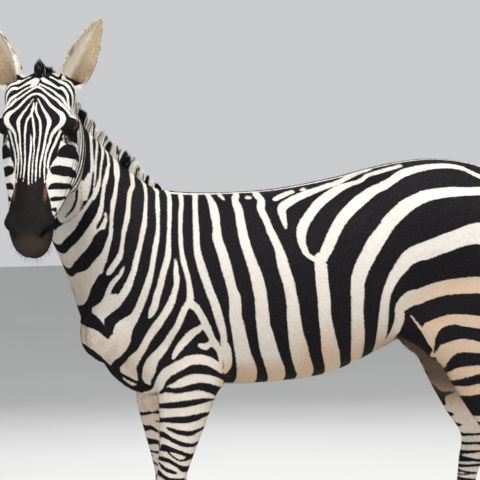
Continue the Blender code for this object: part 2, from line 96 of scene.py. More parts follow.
world = bpy.data.worlds.new("studio")
world.use_nodes = True
world.node_tree.nodes["Background"].inputs["Color"].default_value = (0.86, 0.88, 0.90, 1.0)
world.node_tree.nodes["Background"].inputs["Strength"].default_value = 0.68
bpy.context.scene.world = world
bpy.context.scene.view_settings.view_transform = "Standard"


# ------------------------------------------------------------------ shader maths


class Term:
    """A socket of a material's node tree, with the sums that are done on it."""

    def __init__(self, paint, socket):
        self.paint, self.socket = paint, socket

    def maths(self, operation, *others, **kept):
        return self.paint.node("ShaderNodeMath", {"operation": operation, **kept}, self, *others)

    def __add__(self, other):
        return self.maths("ADD", other)

    __radd__ = __add__

    def __mul__(self, other):
        return self.maths("MULTIPLY", other)

    def __sub__(self, other):
        return self.maths("SUBTRACT", other)

    def __rsub__(self, other):
        return self.paint.node("ShaderNodeMath", {"operation": "SUBTRACT"}, other, self)

    def between(self, low, high):
        """0 at low, 1 at high, smoothly."""
        return self.paint.node(
            "ShaderNodeMapRange", {"interpolation_type": "SMOOTHSTEP"}, self, low, high, 0.0, 1.0
        )

    def clamped(self):
        return self.maths("ADD", 0.0, use_clamp=True)


class Paint:
    """One material: its Principled shader, and a way to add any node."""

    def __init__(self, name):
        self.material = bpy.data.materials.new(name)
        self.material.use_nodes = True
        self.tree = self.material.node_tree
        self.shader = self.tree.nodes["Principled BSDF"]

    def node(self, kind, settings, *inputs, out=0, **named):
        made = self.tree.nodes.new(kind)
        for key, value in settings.items():
            setattr(made, key, value)
        pairs = list(zip(made.inputs, inputs))
        pairs += [(made.inputs[key.replace("_", " ")], value) for key, value in named.items()]
        for socket, value in pairs:
            self.feed(socket, value)
        return Term(self, made.outputs[out])

    def feed(self, socket, value):
        if isinstance(value, Term):
            self.tree.links.new(value.socket, socket)
        elif isinstance(value, tuple) and len(value) == 3 and socket.type == "RGBA":
            socket.default_value = (*value, 1.0)
        else:
            socket.default_value = value

    def place(self, scale=(1.0, 1.0, 1.0)):
        """Object coordinates, stretched."""
        where = self.node("ShaderNodeTexCoord", {}, out=3)
        return self.node("ShaderNodeVectorMath", {"operation": "MULTIPLY"}, where, tuple(scale))

    def noise(self, scale, stretch=(1.0, 1.0, 1.0), detail=2.0, rough=0.5):
        return self.node(
            "ShaderNodeTexNoise", {}, Vector=self.place(stretch), Scale=scale, Detail=detail, Roughness=rough
        )

    def attribute(self, name):
        return self.node("ShaderNodeAttribute", {"attribute_name": name}, out=2)

    def mix(self, share, first, second):
        made = self.tree.nodes.new("ShaderNodeMix")
        made.data_type = "RGBA"
        for socket, value in ((made.inputs[0], share), (made.inputs[6], first), (made.inputs[7], second)):
            self.feed(socket, value)
        return Term(self, made.outputs[2])

    def bump(self, height, strength, distance):
        return self.node("ShaderNodeBump", {}, Strength=strength, Distance=distance, Height=height)

    def finish(self, **named):
        for key, value in named.items():
            self.feed(self.shader.inputs[key.replace("_", " ")], value)
        return self.material


# ------------------------------------------------------------------ lofts and masses, as in the solids


def head_matrix():
    """Head coordinates (side, D, S) to the body's frame. Side is positive to the zebra's right."""
    level = Vector((-math.sin(HEADING), -math.cos(HEADING), 0.0))
    s_axis = level * math.cos(HEAD_PITCH) - Vector((0, 0, math.sin(HEAD_PITCH)))
    d_axis = level * math.sin(HEAD_PITCH) + Vector((0, 0, math.cos(HEAD_PITCH)))
    side = s_axis.cross(d_axis)
    turn = Matrix((side, d_axis, s_axis)).transposed()
    return Matrix.Translation(POLL) @ (Matrix.Rotation(HEAD_TILT, 3, level) @ turn).to_4x4()


HEAD = head_matrix()
HEAD_BACK = HEAD.inverted()


def spline(keys, steps):
    rows = [keys[0], *keys, keys[-1]]
    made = []
    for i in range(1, len(rows) - 2):
        for j in range(steps):
            t = j / steps
            row = []
            for a, b, c, d in zip(rows[i - 1], rows[i], rows[i + 1], rows[i + 2]):
                row.append(
                    b
                    + 0.5 * t * (c - a)
                    + t * t * (a - 2.5 * b + 2 * c - 0.5 * d)
                    + t * t * t * (-0.5 * a + 1.5 * b - 1.5 * c + 0.5 * d)
                )
            made.append(row)
    made.append(list(keys[-1]))
    return made


def new_object(name, mesh):
    made = bpy.data.objects.new(name, mesh)
    bpy.context.scene.collection.objects.link(made)
    return made


def object_of(name, bm, matrix=None):
    if matrix:
        bm.transform(matrix)
    bmesh.ops.recalc_face_normals(bm, faces=bm.faces)
    mesh = bpy.data.meshes.new(name)
    bm.to_mesh(mesh)
    bm.free()
    return new_object(name, mesh)


def bridge(bm, rings):
    for lower, upper in zip(rings, rings[1:]):
        for i in range(len(lower)):
            j = (i + 1) % len(lower)
            bm.faces.new((lower[i], lower[j], upper[j], upper[i]))
    bm.faces.new(rings[0][::-1])
    bm.faces.new(rings[-1])


def loft(name, keys, steps=5, sides=40, matrix=None):
    """A closed tube through rings, keyed by upper point, lower point, half width and roundness."""
    rows = spline([[*top, *low, *rest] for top, low, *rest in keys], steps)
    middles = [(Vector(r[0:3]) + Vector(r[3:6])) / 2 for r in rows]
    bm = bmesh.new()
    rings = []
    for k, row in enumerate(rows):
        top, low = Vector(row[0:3]), Vector(row[3:6])
        half_width, widest, upper, lower = row[6:10]
        run = middles[min(k + 1, len(rows) - 1)] - middles[max(k - 1, 0)]
        side = (top - low).cross(run).normalized() * half_width
        waist = low.lerp(top, widest)
        ring = []
        for i in range(sides):
            angle = 2 * math.pi * i / sides
            up, out = math.sin(angle), math.cos(angle)
            reach = math.copysign(abs(out) ** (upper if up > 0 else lower), out)
            rise = (top - waist) * up if up > 0 else (waist - low) * up
            ring.append(bm.verts.new(waist + rise + side * reach))
        rings.append(ring)
    bridge(bm, rings)
    return object_of(name, bm, matrix)


def mass(name, centre, radii, turn=(0, 0, 0), matrix=None):
    """A muscle or bone as an ellipsoid, turned by X, Y and Z angles in degrees."""
    bm = bmesh.new()
    bmesh.ops.create_icosphere(bm, subdivisions=4, radius=1.0)
    place = Matrix.Translation(centre)
    for angle, axis in zip(turn, "XYZ"):
        place = place @ Matrix.Rotation(math.radians(angle), 4, axis)
    place = place @ Matrix.Diagonal((*radii, 1.0))
    return object_of(name, bm, matrix @ place if matrix else place)

# (x, z) of the top line and of the under line, half width, widest, upper and lower roundness
TRUNK_KEYS = [
    ((0.712, 1.150), (0.722, 1.020), 0.042, 0.5, 1.0, 1.0),
    ((0.690, 1.215), (0.705, 0.930), 0.100, 0.5, 1.0, 1.0),
    ((0.640, 1.272), (0.645, 0.880), 0.150, 0.50, 1.0, 1.0),
    ((0.540, 1.331), (0.530, 0.850), 0.188, 0.52, 0.95, 1.0),
    ((0.400, 1.353), (0.370, 0.842), 0.212, 0.52, 0.88, 1.0),
    ((0.250, 1.338), (0.235, 0.775), 0.224, 0.50, 0.86, 1.0),
    ((0.080, 1.299), (0.060, 0.702), 0.245, 0.46, 0.92, 0.95),
    ((-0.100, 1.270), (-0.120, 0.680), 0.252, 0.44, 0.98, 0.95),
    ((-0.270, 1.264), (-0.300, 0.678), 0.230, 0.44, 1.05, 1.0),
    ((-0.390, 1.270), (-0.435, 0.672), 0.202, 0.44, 1.15, 1.0),
    ((-0.470, 1.288), (-0.565, 0.718), 0.180, 0.44, 1.20, 1.0),
    ((-0.548, 1.347), (-0.668, 0.850), 0.156, 0.42, 1.20, 1.0),
]
# The neck bends to the left, so its keys have all three coordinates.
NECK_KEYS = [
    ((-0.625, -0.015, 1.420), (-0.716, -0.020, 1.005), 0.132, 0.42, 1.25, 1.0),
    ((-0.697, -0.055, 1.496), (-0.766, -0.040, 1.130), 0.112, 0.42, 1.25, 1.0),
    ((-0.756, -0.116, 1.565), (-0.795, -0.060, 1.250), 0.104, 0.44, 1.15, 1.0),
    ((-0.796, -0.186, 1.612), (-0.800, -0.100, 1.345), 0.094, 0.48, 1.0, 1.0),
    ((-0.824, -0.237, 1.610), (-0.822, -0.155, 1.400), 0.078, 0.50, 1.0, 1.0),
]


def torso_keys():
    trunk = [((x, 0, z), (u, 0, v), *rest) for (x, z), (u, v), *rest in TRUNK_KEYS]
    return trunk + NECK_KEYS


def torso_masses():
    made = []
    for side in (LEFT, RIGHT):
        made += [
            mass("shoulder", (-0.425, side * 0.140, 1.00), (0.110, 0.066, 0.190), (side * 15, 14, 0)),
            mass("upper_arm", (-0.475, side * 0.122, 0.84), (0.130, 0.074, 0.130), (0, -20, 0)),
            mass("breast", (-0.605, side * 0.070, 0.870), (0.080, 0.074, 0.115), (0, 20, 0)),
            mass("brisket", (-0.515, side * 0.055, 0.760), (0.125, 0.070, 0.090), (0, 38, 0)),
            mass("triceps", (-0.34, side * 0.135, 0.86), (0.110, 0.066, 0.160), (0, 20, 0)),
            mass("haunch", (0.45, side * 0.105, 1.10), (0.240, 0.118, 0.195), (0, 10, 0)),
            mass("hip", (0.295, side * 0.125, 1.210), (0.110, 0.058, 0.075), (side * 20, 12, 0)),
            mass("buttock", (0.630, side * 0.080, 1.02), (0.100, 0.078, 0.180)),
            mass("flank", (0.300, side * 0.125, 0.900), (0.125, 0.056, 0.095), (0, 50, 0)),
        ]
    return made


# (x, z) of the leg's front and of its rear, half width, and the y of its middle for a left leg
FORE_KEYS = [
    ((-0.540, 0.900), (-0.290, 0.880), 0.066, -0.118),
    ((-0.525, 0.800), (-0.274, 0.775), 0.076, -0.127),
    ((-0.488, 0.715), (-0.286, 0.700), 0.070, -0.130),
    ((-0.478, 0.620), (-0.318, 0.620), 0.060, -0.130),
    ((-0.479, 0.520), (-0.358, 0.520), 0.049, -0.129),
    ((-0.486, 0.435), (-0.391, 0.435), 0.042, -0.128),
    ((-0.493, 0.392), (-0.398, 0.392), 0.043, -0.128),
    ((-0.495, 0.355), (-0.396, 0.352), 0.044, -0.128),
    ((-0.480, 0.305), (-0.405, 0.305), 0.033, -0.128),
    ((-0.475, 0.240), (-0.417, 0.240), 0.0240, -0.128),
    ((-0.478, 0.170), (-0.416, 0.165), 0.0265, -0.128),
    ((-0.489, 0.134), (-0.413, 0.122), 0.032, -0.128),
    ((-0.505, 0.096), (-0.446, 0.074), 0.027, -0.128),
    ((-0.528, 0.066), (-0.456, 0.043), 0.034, -0.128),
    ((-0.536, 0.050), (-0.458, 0.028), 0.034, -0.128),
]
HIND_KEYS = [
    ((0.220, 1.080), (0.660, 1.120), 0.076, -0.098),
    ((0.238, 0.985), (0.705, 1.010), 0.088, -0.107),
    ((0.282, 0.890), (0.700, 0.900), 0.092, -0.116),
    ((0.340, 0.800), (0.672, 0.805), 0.084, -0.122),
    ((0.392, 0.715), (0.640, 0.730), 0.069, -0.126),
    ((0.448, 0.620), (0.622, 0.660), 0.054, -0.127),
    ((0.503, 0.540), (0.632, 0.595), 0.041, -0.125),
    ((0.536, 0.497), (0.658, 0.548), 0.036, -0.123),
    ((0.548, 0.460), (0.664, 0.492), 0.040, -0.121),
    ((0.546, 0.415), (0.630, 0.405), 0.037, -0.120),
    ((0.545, 0.365), (0.611, 0.360), 0.029, -0.120),
    ((0.542, 0.270), (0.600, 0.270), 0.0245, -0.120),
    ((0.535, 0.178), (0.597, 0.172), 0.0265, -0.120),
    ((0.525, 0.142), (0.601, 0.128), 0.033, -0.120),
    ((0.508, 0.101), (0.568, 0.078), 0.027, -0.120),
    ((0.485, 0.070), (0.557, 0.045), 0.034, -0.120),
    ((0.477, 0.052), (0.555, 0.029), 0.034, -0.120),
]
# Each leg's stance: the height its swing begins at, and how far back it has gone at the floor.
STANCE = {
    ("fore", LEFT): (0.60, 0.0),
    ("fore", RIGHT): (0.50, 0.155),
    ("hind", LEFT): (0.80, 0.0),
    ("hind", RIGHT): (0.80, -0.075),
}


def stance(pair, side, z):
    start, reach = STANCE[pair, side]
    t = 1 - z / start
    return reach * (1.15 * t - 0.15 * t * t if t > 0 else max(t, -0.2))


def leg_keys(pair, side):
    keys = FORE_KEYS if pair == "fore" else HIND_KEYS
    made = []
    for (fx, fz), (rx, rz), half_width, y in keys:
        swing = stance(pair, side, (fz + rz) / 2)
        front = (fx + swing, -side * y, fz)
        rear = (rx + swing, -side * y, rz)
        made.append((front, rear, half_width, 0.5, 1.0, 1.0))
    return made


def leg_masses(side):
    hock = 0.645 + stance("hind", side, 0.52)
    knee = -0.478 + stance("fore", side, 0.36)
    ergot = -0.418 + stance("fore", side, 0.125)
    return [
        mass("elbow", (-0.312, side * 0.142, 0.720), (0.040, 0.038, 0.050)),
        mass("hock", (hock, side * 0.122, 0.520), (0.024, 0.020, 0.038), (0, 20, 0)),
        mass("knee", (knee, side * 0.128, 0.360), (0.030, 0.038, 0.036)),
        mass("ergot", (ergot, side * 0.128, 0.125), (0.016, 0.022, 0.018)),
        mass("stifle", (0.390, side * 0.132, 0.830), (0.085, 0.066, 0.105), (0, -30, 0)),
    ]


# S, then D of the face and of the jaw line, half width, widest, upper and lower roundness
HEAD_KEYS = [
    (-0.022, -0.032, -0.150, 0.055, 0.60, 1.0, 1.0),
    (0.012, -0.006, -0.190, 0.082, 0.64, 0.85, 1.0),
    (0.060, 0.008, -0.222, 0.096, 0.68, 0.75, 1.0),
    (0.110, 0.014, -0.240, 0.102, 0.68, 0.70, 0.95),
    (0.160, 0.014, -0.244, 0.106, 0.62, 0.75, 0.95),
    (0.215, 0.007, -0.232, 0.109, 0.50, 0.90, 0.82),
    (0.270, 0.001, -0.211, 0.104, 0.43, 1.10, 0.76),
    (0.325, -0.003, -0.186, 0.091, 0.38, 1.20, 0.74),
    (0.375, -0.005, -0.158, 0.078, 0.38, 1.15, 0.78),
    (0.420, -0.007, -0.136, 0.067, 0.44, 0.95, 0.88),
    (0.460, -0.011, -0.125, 0.064, 0.50, 0.85, 0.90),
    (0.498, -0.022, -0.118, 0.057, 0.50, 0.90, 0.90),
    (0.524, -0.038, -0.108, 0.045, 0.50, 1.0, 1.0),
    (0.540, -0.056, -0.092, 0.025, 0.50, 1.0, 1.0),
]


def sway(s):
    """How far the lips lean to the zebra's left."""
    return -0.012 * max(0.0, min(1.0, (s - 0.43) / 0.10))


def head_source():
    keys = [((sway(s), d, s), (sway(s), j, s), *rest) for s, d, j, *rest in HEAD_KEYS]
    made = [loft("skull", keys, matrix=HEAD)]
    for side in (LEFT, RIGHT):
        made += [
            mass("cheek", (side * 0.079, -0.160, 0.190), (0.030, 0.088, 0.122), matrix=HEAD),
            mass("brow", (side * 0.080, -0.014, 0.136), (0.025, 0.020, 0.040), matrix=HEAD),
            mass("orbit", (side * 0.087, -0.040, 0.152), (0.024, 0.032, 0.040), matrix=HEAD),
            mass("cheekbone", (side * 0.086, -0.080, 0.245), (0.017, 0.018, 0.085), (0, side * -14, 0), HEAD),
            mass("nostril", (side * 0.044, -0.046, 0.445), (0.024, 0.032, 0.042), matrix=HEAD),
            mass("temple", (side * 0.078, -0.035, 0.066), (0.027, 0.045, 0.055), matrix=HEAD),
        ]
    made += [
        mass("upper_lip", (sway(0.510), -0.060, 0.510), (0.049, 0.038, 0.036), matrix=HEAD),
        mass("chin", (sway(0.496), -0.112, 0.496), (0.038, 0.028, 0.038), matrix=HEAD),
    ]
    return made


# ------------------------------------------------------------------ ears and tail

# Along the ear from its root: (distance, half width, half arc of the cup in degrees)
EAR_KEYS = [
    (-0.020, 0.028, 120),
    (0.010, 0.0365, 118),
    (0.045, 0.0462, 103),
    (0.090, 0.0462, 88),
    (0.135, 0.0385, 74),
    (0.175, 0.0266, 62),
    (0.200, 0.0168, 55),
    (0.212, 0.010, 50),
    (0.216, 0.004, 50),
]
EAR_ROOT = (0.072, -0.048, 0.022)
EAR_SPLAY, EAR_BACK, EAR_OPEN = 27, 8, 28
EAR_WALL = 0.0052


def ear_axes(side):
    """The ear's root, its run, its width and the way it faces, in the head's frame."""
    up = HEAD.to_3x3().inverted() @ Vector((0, 0, 1))
    ahead = HEAD.to_3x3().inverted() @ Vector((-math.sin(HEADING), -math.cos(HEADING), 0))
    across = Vector((side, 0, 0))
    across = (across - up * across.dot(up)).normalized()
    splay, open_out, back = (math.radians(a) for a in (EAR_SPLAY, EAR_OPEN, EAR_BACK))
    run = (up * math.cos(splay) + across * math.sin(splay)).normalized()
    run = (run - ahead * math.sin(back)).normalized()
    face = ahead * math.cos(open_out) + across * math.sin(open_out)
    face = (face - run * face.dot(run)).normalized()
    root = Vector((side * EAR_ROOT[0], EAR_ROOT[1], EAR_ROOT[2]))
    return root, run, run.cross(face), face


def ear(side):
    """A cupped leaf that stands up from the head, open to the front and a little outwards."""
    columns = 24
    root, run, width, face = ear_axes(side)
    bm = bmesh.new()
    rings = []
    for along, half, arc in spline(EAR_KEYS, 5):
        arc = math.radians(arc)
        radius = half / math.sin(min(arc, math.pi / 2))
        wall = min(EAR_WALL, radius * 0.8)
        outer, inner = [], []
        for c in range(columns + 1):
            a = arc * (2 * c / columns - 1)
            spot = width * math.sin(a) - face * math.cos(a)
            middle = root + run * along + face * radius * 0.5
            outer.append(bm.verts.new(middle + spot * (radius - 0.0002)))
            inner.append(bm.verts.new(middle + spot * (radius - wall)))
        rings.append(outer + inner[::-1])
    bridge(bm, rings)
    return object_of("ear", bm, HEAD)


TAIL_LINE = [(0.640, 1.245), (0.690, 1.228), (0.730, 1.168), (0.748, 1.065), (0.750, 0.955), (0.746, 0.865)]
TAIL_THICKNESS = [0.036, 0.034, 0.029, 0.023, 0.018, 0.016]


def dock():
    """The tail's flesh, a tube that hangs from the rump."""
    keys, last = [], len(TAIL_LINE) - 1
    for i, ((x, z), r) in enumerate(zip(TAIL_LINE, TAIL_THICKNESS)):
        before, after = TAIL_LINE[max(i - 1, 0)], TAIL_LINE[min(i + 1, last)]
        run = Vector((after[0] - before[0], after[1] - before[1])).normalized()
        out = Vector((-run.y, run.x)) * r
        keys.append(((x + out.x, 0, z + out.y), (x - out.x, 0, z - out.y), r, 0.5, 1.0, 1.0))
    return loft("tail", keys, steps=6, sides=24)


# ------------------------------------------------------------------ the skin


def select_only(*objects):
    bpy.ops.object.select_all(action="DESELECT")
    for o in objects:
        o.select_set(True)
    bpy.context.view_layer.objects.active = objects[0]


def joined(name, objects):
    select_only(*objects)
    bpy.ops.object.join()
    objects[0].name = name
    return objects[0]


def apply(obj, kind, **settings):
    select_only(obj)
    modifier = obj.modifiers.new(kind.lower(), kind)
    for key, value in settings.items():
        setattr(modifier, key, value)
    bpy.ops.object.modifier_apply(modifier=modifier.name)


def grip(obj, name, weights):
    """A vertex group with a weight for each vertex, in twenty steps."""
    group = obj.vertex_groups.new(name=name)
    level = np.round(np.clip(weights, 0, 1) * 20).astype(int)
    for step in range(1, 21):
        chosen = np.nonzero(level == step)[0]
        if len(chosen):
            group.add(chosen.tolist(), step / 20, "REPLACE")


def spots(mesh):
    flat = np.empty(len(mesh.vertices) * 3)
    mesh.vertices.foreach_get("co", flat)
    return flat.reshape(-1, 3)


def normals(mesh):
    flat = np.empty(len(mesh.vertices) * 3, dtype=np.float32)
    mesh.vertex_normals.foreach_get("vector", flat)
    return flat.reshape(-1, 3).astype(float)


def place_spots(mesh, where):
    mesh.vertices.foreach_set("co", np.asarray(where, dtype=np.float32).ravel())
    mesh.update()


def fade(value, low, high):
    """0 at low to 1 at high, on numbers or arrays; low may be the larger."""
    t = np.clip((value - low) / (high - low), 0.0, 1.0)
    return t * t * (3 - 2 * t)


def moved(points, matrix):
    """Points through a 4x4 matrix."""
    m = np.array(matrix)
    return points @ m[:3, :3].T + m[:3, 3]


def head_share(points):
    side, d, along = moved(points, HEAD_BACK).T
    return (
        np.clip((along + 0.04) / 0.06, 0, 1)
        * np.clip((d + 0.29) / 0.05, 0, 1)
        * np.clip((0.20 - abs(side)) / 0.05, 0, 1)
    )


def ear_share(points):
    """1 on the ears, falling to 0 at their roots."""
    made = np.zeros(len(points))
    local = moved(points, HEAD_BACK)
    for side in (LEFT, RIGHT):
        root, run, _, _ = ear_axes(side)
        out = local - np.array(root)
        along = out @ np.array(run)
        across = np.linalg.norm(out - along[:, None] * np.array(run), axis=1)
        made = np.maximum(made, fade(along, 0.010, 0.040) * (across < 0.075))
    return made


def softness(points):
    rise = np.clip((points[:, 2] - 0.55) / 0.25, 0, 1)
    return 0.06 + 0.94 * rise * (1 - 0.88 * head_share(points))


def body_and_head():
    sources = [loft("torso", torso_keys())] + torso_masses() + head_source()
    for side in (LEFT, RIGHT):
        sources += [loft("leg", leg_keys(pair, side)) for pair in ("fore", "hind")]
        sources += leg_masses(side)
    whole = joined("skin", sources)
    apply(whole, "REMESH", mode="VOXEL", voxel_size=0.006)
    grip(whole, "soft", softness(spots(whole.data)))
    apply(whole, "SMOOTH", factor=0.5, iterations=66, vertex_group="soft")
    whole.vertex_groups.clear()
    return whole


EYE_LONG, EYE_HIGH = 0.0205, 0.0140  # half the opening between the lids
PATCH_SIDE = 0.108  # how far out the middle of the bare patch round the eye lies
FACE_AXIS = 0.11  # how far under the brow the face is measured round
BETWEEN_LEGS = 0.15  # x between the fore and hind legs
EAR_LENGTH = 0.217


def eye_axes(side):
    """The eye's middle, the way it looks, its long axis and its height, in the head's frame."""
    look = Vector((side * 0.93, 0.20, 0.30)).normalized()
    long = Vector((0.0, -0.16, 1.0))
    long = (long - look * long.dot(look)).normalized()
    high = look.cross(long) * side
    if high.y < 0:
        high = -high
    return Vector((side * EYE_SIDE, EYE_D, EYE_S)), look, long, high


def lids(local):
    """Opens an almond over each eye, with rims, and folds above and below."""
    for side in (LEFT, RIGHT):
        middle, look, long, high = (np.array(v) for v in eye_axes(side))
        out = local - middle
        reach = np.linalg.norm(out, axis=1)
        near = reach < 0.060
        unit = out[near] / reach[near, None]
        a, b, facing = unit @ long, unit @ high, unit @ look
        ball = EYE_RADIUS
        la, lb = a * ball / EYE_LONG, b * ball / EYE_HIGH
        ring = np.where(facing > 0, np.sqrt(la * la + np.abs(lb) ** 1.7), 9.0)
        # behind the ball inside the opening, and a rounded rim just outside it
        rim = ball + 0.0034 * fade(ring, 0.84, 1.06) * (1 - 0.40 * fade(ring, 1.20, 1.7)) + 0.0008
        upper = (b > 0) * 1.0
        rim += upper * 0.0030 * np.exp(-(((ring - 1.42) / 0.20) ** 2))
        rim -= 0.0022 * np.exp(-(((ring - 1.74 + 0.15 * upper) / 0.10) ** 2))
        rim = np.where(ring < 0.95, ball - 0.006 + 0.007 * fade(ring, 0.82, 0.95), rim)
        hold = 1 - fade(ring, 1.55, 2.25)
        hold = np.where(ring < 1.5, 1.0, hold)
        target = middle + unit * rim[:, None]
        local[near] += (target - local[near]) * hold[:, None] * (facing > 0)[:, None]
    return local


def groove(points, keys, depth, half, out):
    """Sinks (or with a negative depth raises) points near a line through keys, along `out`."""
    line = np.array(spline(keys, 6))
    best = np.full(len(points), 9.0)
    for a, b in zip(line, line[1:]):
        run = b - a
        t = np.clip(((points - a) @ run) / (run @ run), 0, 1)
        best = np.minimum(best, np.linalg.norm(points - a - t[:, None] * run, axis=1))
    return points - out * (depth * np.exp(-((best / half) ** 2)))[:, None]


# Lines on each half of the head: (points, depth, half width), where a negative depth raises.
FACE_LINES = [
    # the cheek's ridge and the hollow under it, the side of the nose, under the eye, the jaw
    ([(0.100, -0.066, 0.190), (0.100, -0.078, 0.250), (0.080, -0.082, 0.320)], -0.0030, 0.010),
    ([(0.100, -0.094, 0.215), (0.092, -0.100, 0.270), (0.076, -0.100, 0.330)], 0.0028, 0.011),
    ([(0.072, -0.020, 0.180), (0.062, -0.014, 0.260), (0.048, -0.016, 0.360)], 0.0016, 0.012),
    ([(0.104, -0.075, 0.145), (0.098, -0.090, 0.175)], 0.0020, 0.007),
    ([(0.088, -0.190, 0.120), (0.096, -0.196, 0.170), (0.088, -0.172, 0.230)], -0.0022, 0.014),
    # the mouth, a lip on each side of it, and a fold behind its corner
    ([(0.0, -0.092, 0.546), (0.026, -0.094, 0.532), (0.048, -0.094, 0.500), (0.058, -0.094, 0.455)],
     0.0050, 0.0034),
    ([(0.0, -0.082, 0.545), (0.030, -0.083, 0.525), (0.056, -0.083, 0.470)], -0.0022, 0.008),
    ([(0.0, -0.104, 0.540), (0.030, -0.105, 0.520), (0.052, -0.105, 0.460)], -0.0020, 0.007),
    ([(0.062, -0.084, 0.440), (0.066, -0.098, 0.432), (0.062, -0.112, 0.440)], 0.0020, 0.005),
    # the nostril's raised wings, then its comma-shaped pit
    ([(0.030, -0.024, 0.482), (0.052, -0.026, 0.462), (0.066, -0.050, 0.448)], -0.0055, 0.012),
    ([(0.020, -0.050, 0.508), (0.040, -0.056, 0.498), (0.048, -0.070, 0.482)], -0.0035, 0.009),
    ([(0.032, -0.040, 0.496), (0.046, -0.038, 0.484), (0.056, -0.052, 0.466), (0.055, -0.066, 0.462)],
     0.0170, 0.0068),
]


def sculpt_head(obj):
    """Lids, nostrils, lips, chin and the bones that show through the face."""
    where = spots(obj.data)
    on = head_share(where) > 0.02
    out = moved(normals(obj.data)[on] + where[on], HEAD_BACK) - moved(where[on], HEAD_BACK)
    local = moved(where[on], HEAD_BACK)
    for side in (LEFT, RIGHT):
        near = np.sign(local[:, 0]) == side
        for keys, depth, half in FACE_LINES:
            line = [(side * k + sway(s), d, s) for k, d, s in keys]
            local[near] = groove(local[near], line, depth, half, out[near])
    local = groove(local, [(0, -0.045, 0.535), (0, -0.080, 0.548)], 0.0022, 0.004, out)
    local = lids(local)
    where[on] = moved(local, HEAD)
    place_spots(obj.data, where)


def sculpt_body(obj):
    """Folds of the neck, shoulder, elbow, flank and thigh, and grooves beside the leg tendons."""
    where, out = spots(obj.data), normals(obj.data)
    folds = [
        ([(-0.600, 0.145, 1.30), (-0.640, 0.125, 1.16), (-0.655, 0.095, 1.02)], 0.0060, 0.022),
        ([(-0.520, 0.185, 1.14), (-0.560, 0.180, 1.00), (-0.585, 0.155, 0.90)], 0.0050, 0.020),
        ([(-0.300, 0.215, 1.02), (-0.270, 0.215, 0.90), (-0.245, 0.185, 0.78)], 0.0055, 0.024),
        ([(0.200, 0.235, 1.02), (0.255, 0.225, 0.90), (0.320, 0.190, 0.80)], 0.0060, 0.026),
        ([(0.160, 0.200, 1.24), (0.220, 0.205, 1.12), (0.240, 0.220, 1.02)], 0.0050, 0.034),
        ([(0.560, 0.170, 1.10), (0.600, 0.165, 0.95), (0.590, 0.150, 0.82)], 0.0050, 0.022),
        ([(-0.440, 0.175, 0.840), (-0.400, 0.175, 0.760), (-0.360, 0.170, 0.720)], 0.0040, 0.016),
    ]
    for keys, depth, half in folds:
        for side in (LEFT, RIGHT):
            line = [(x, side * y, z) for x, y, z in keys]
            near = where[:, 2] > 0.65
            where[near] = groove(where[near], line, depth, half, out[near])
    for side in (LEFT, RIGHT):
        for pair, keys in (("fore", FORE_KEYS[-10:-3]), ("hind", HIND_KEYS[-9:-3])):
            below = (where[:, 2] < 0.62) & (np.sign(where[:, 1]) == side)
            for face in (-1, 1):
                line = []
                for (fx, fz), (rx, rz), half_width, y in keys:
                    z = (fz + rz) / 2
                    x = fx + (rx - fx) * 0.66 + stance(pair, side, z)
                    line.append((x, -side * y + face * half_width * 0.9, z))
                where[below] = groove(where[below], line, 0.0026, 0.0065, out[below])
    place_spots(obj.data, where)


COAT_DEPTH = 0.0032


def coat_depth(points):
    """How far the coat stands off the skin: least on the face, ears and feet."""
    face = head_share(points)
    low = fade(points[:, 2], 0.55, 0.20)
    return COAT_DEPTH * (1 - 0.55 * face) * (1 - 0.35 * low) * (1 - 0.8 * ear_share(points))


def make_skin():
    whole = body_and_head()
    pieces = [whole, dock()]
    pieces += [ear(side) for side in (LEFT, RIGHT)]
    whole = joined("skin", pieces)
    apply(whole, "REMESH", mode="VOXEL", voxel_size=VOXEL)
    grip(whole, "soft", 1 - 0.6 * ear_share(spots(whole.data)))
    apply(whole, "SMOOTH", factor=0.5, iterations=6, vertex_group="soft")
    whole.vertex_groups.clear()
    where = spots(whole.data)
    place_spots(whole.data, where - normals(whole.data) * coat_depth(where)[:, None])
    return whole


def finer(obj, keep):
    """Cuts the chosen faces into four."""
    bm = bmesh.new()
    bm.from_mesh(obj.data)
    bm.verts.ensure_lookup_table()
    edges = [e for e in bm.edges if keep[e.verts[0].index] and keep[e.verts[1].index]]
    bmesh.ops.subdivide_edges(bm, edges=edges, cuts=1, use_grid_fill=True)
    bmesh.ops.triangulate(bm, faces=[f for f in bm.faces if len(f.verts) > 4])
    bm.to_mesh(obj.data)
    bm.free()


def near_details(where):
    """Places about the eyes, nostrils and mouth, where the mesh is made finer."""
    local = moved(where, HEAD_BACK)
    side, d, along = abs(local[:, 0]), local[:, 1], local[:, 2]
    eye = np.linalg.norm(np.stack([side - PATCH_SIDE, d - EYE_D, along - EYE_S], 1), axis=1) < 0.040
    muzzle = (along > 0.435) & (along < 0.57) & (d < -0.015) & (d > -0.13)
    return eye | muzzle


# ------------------------------------------------------------------ markings

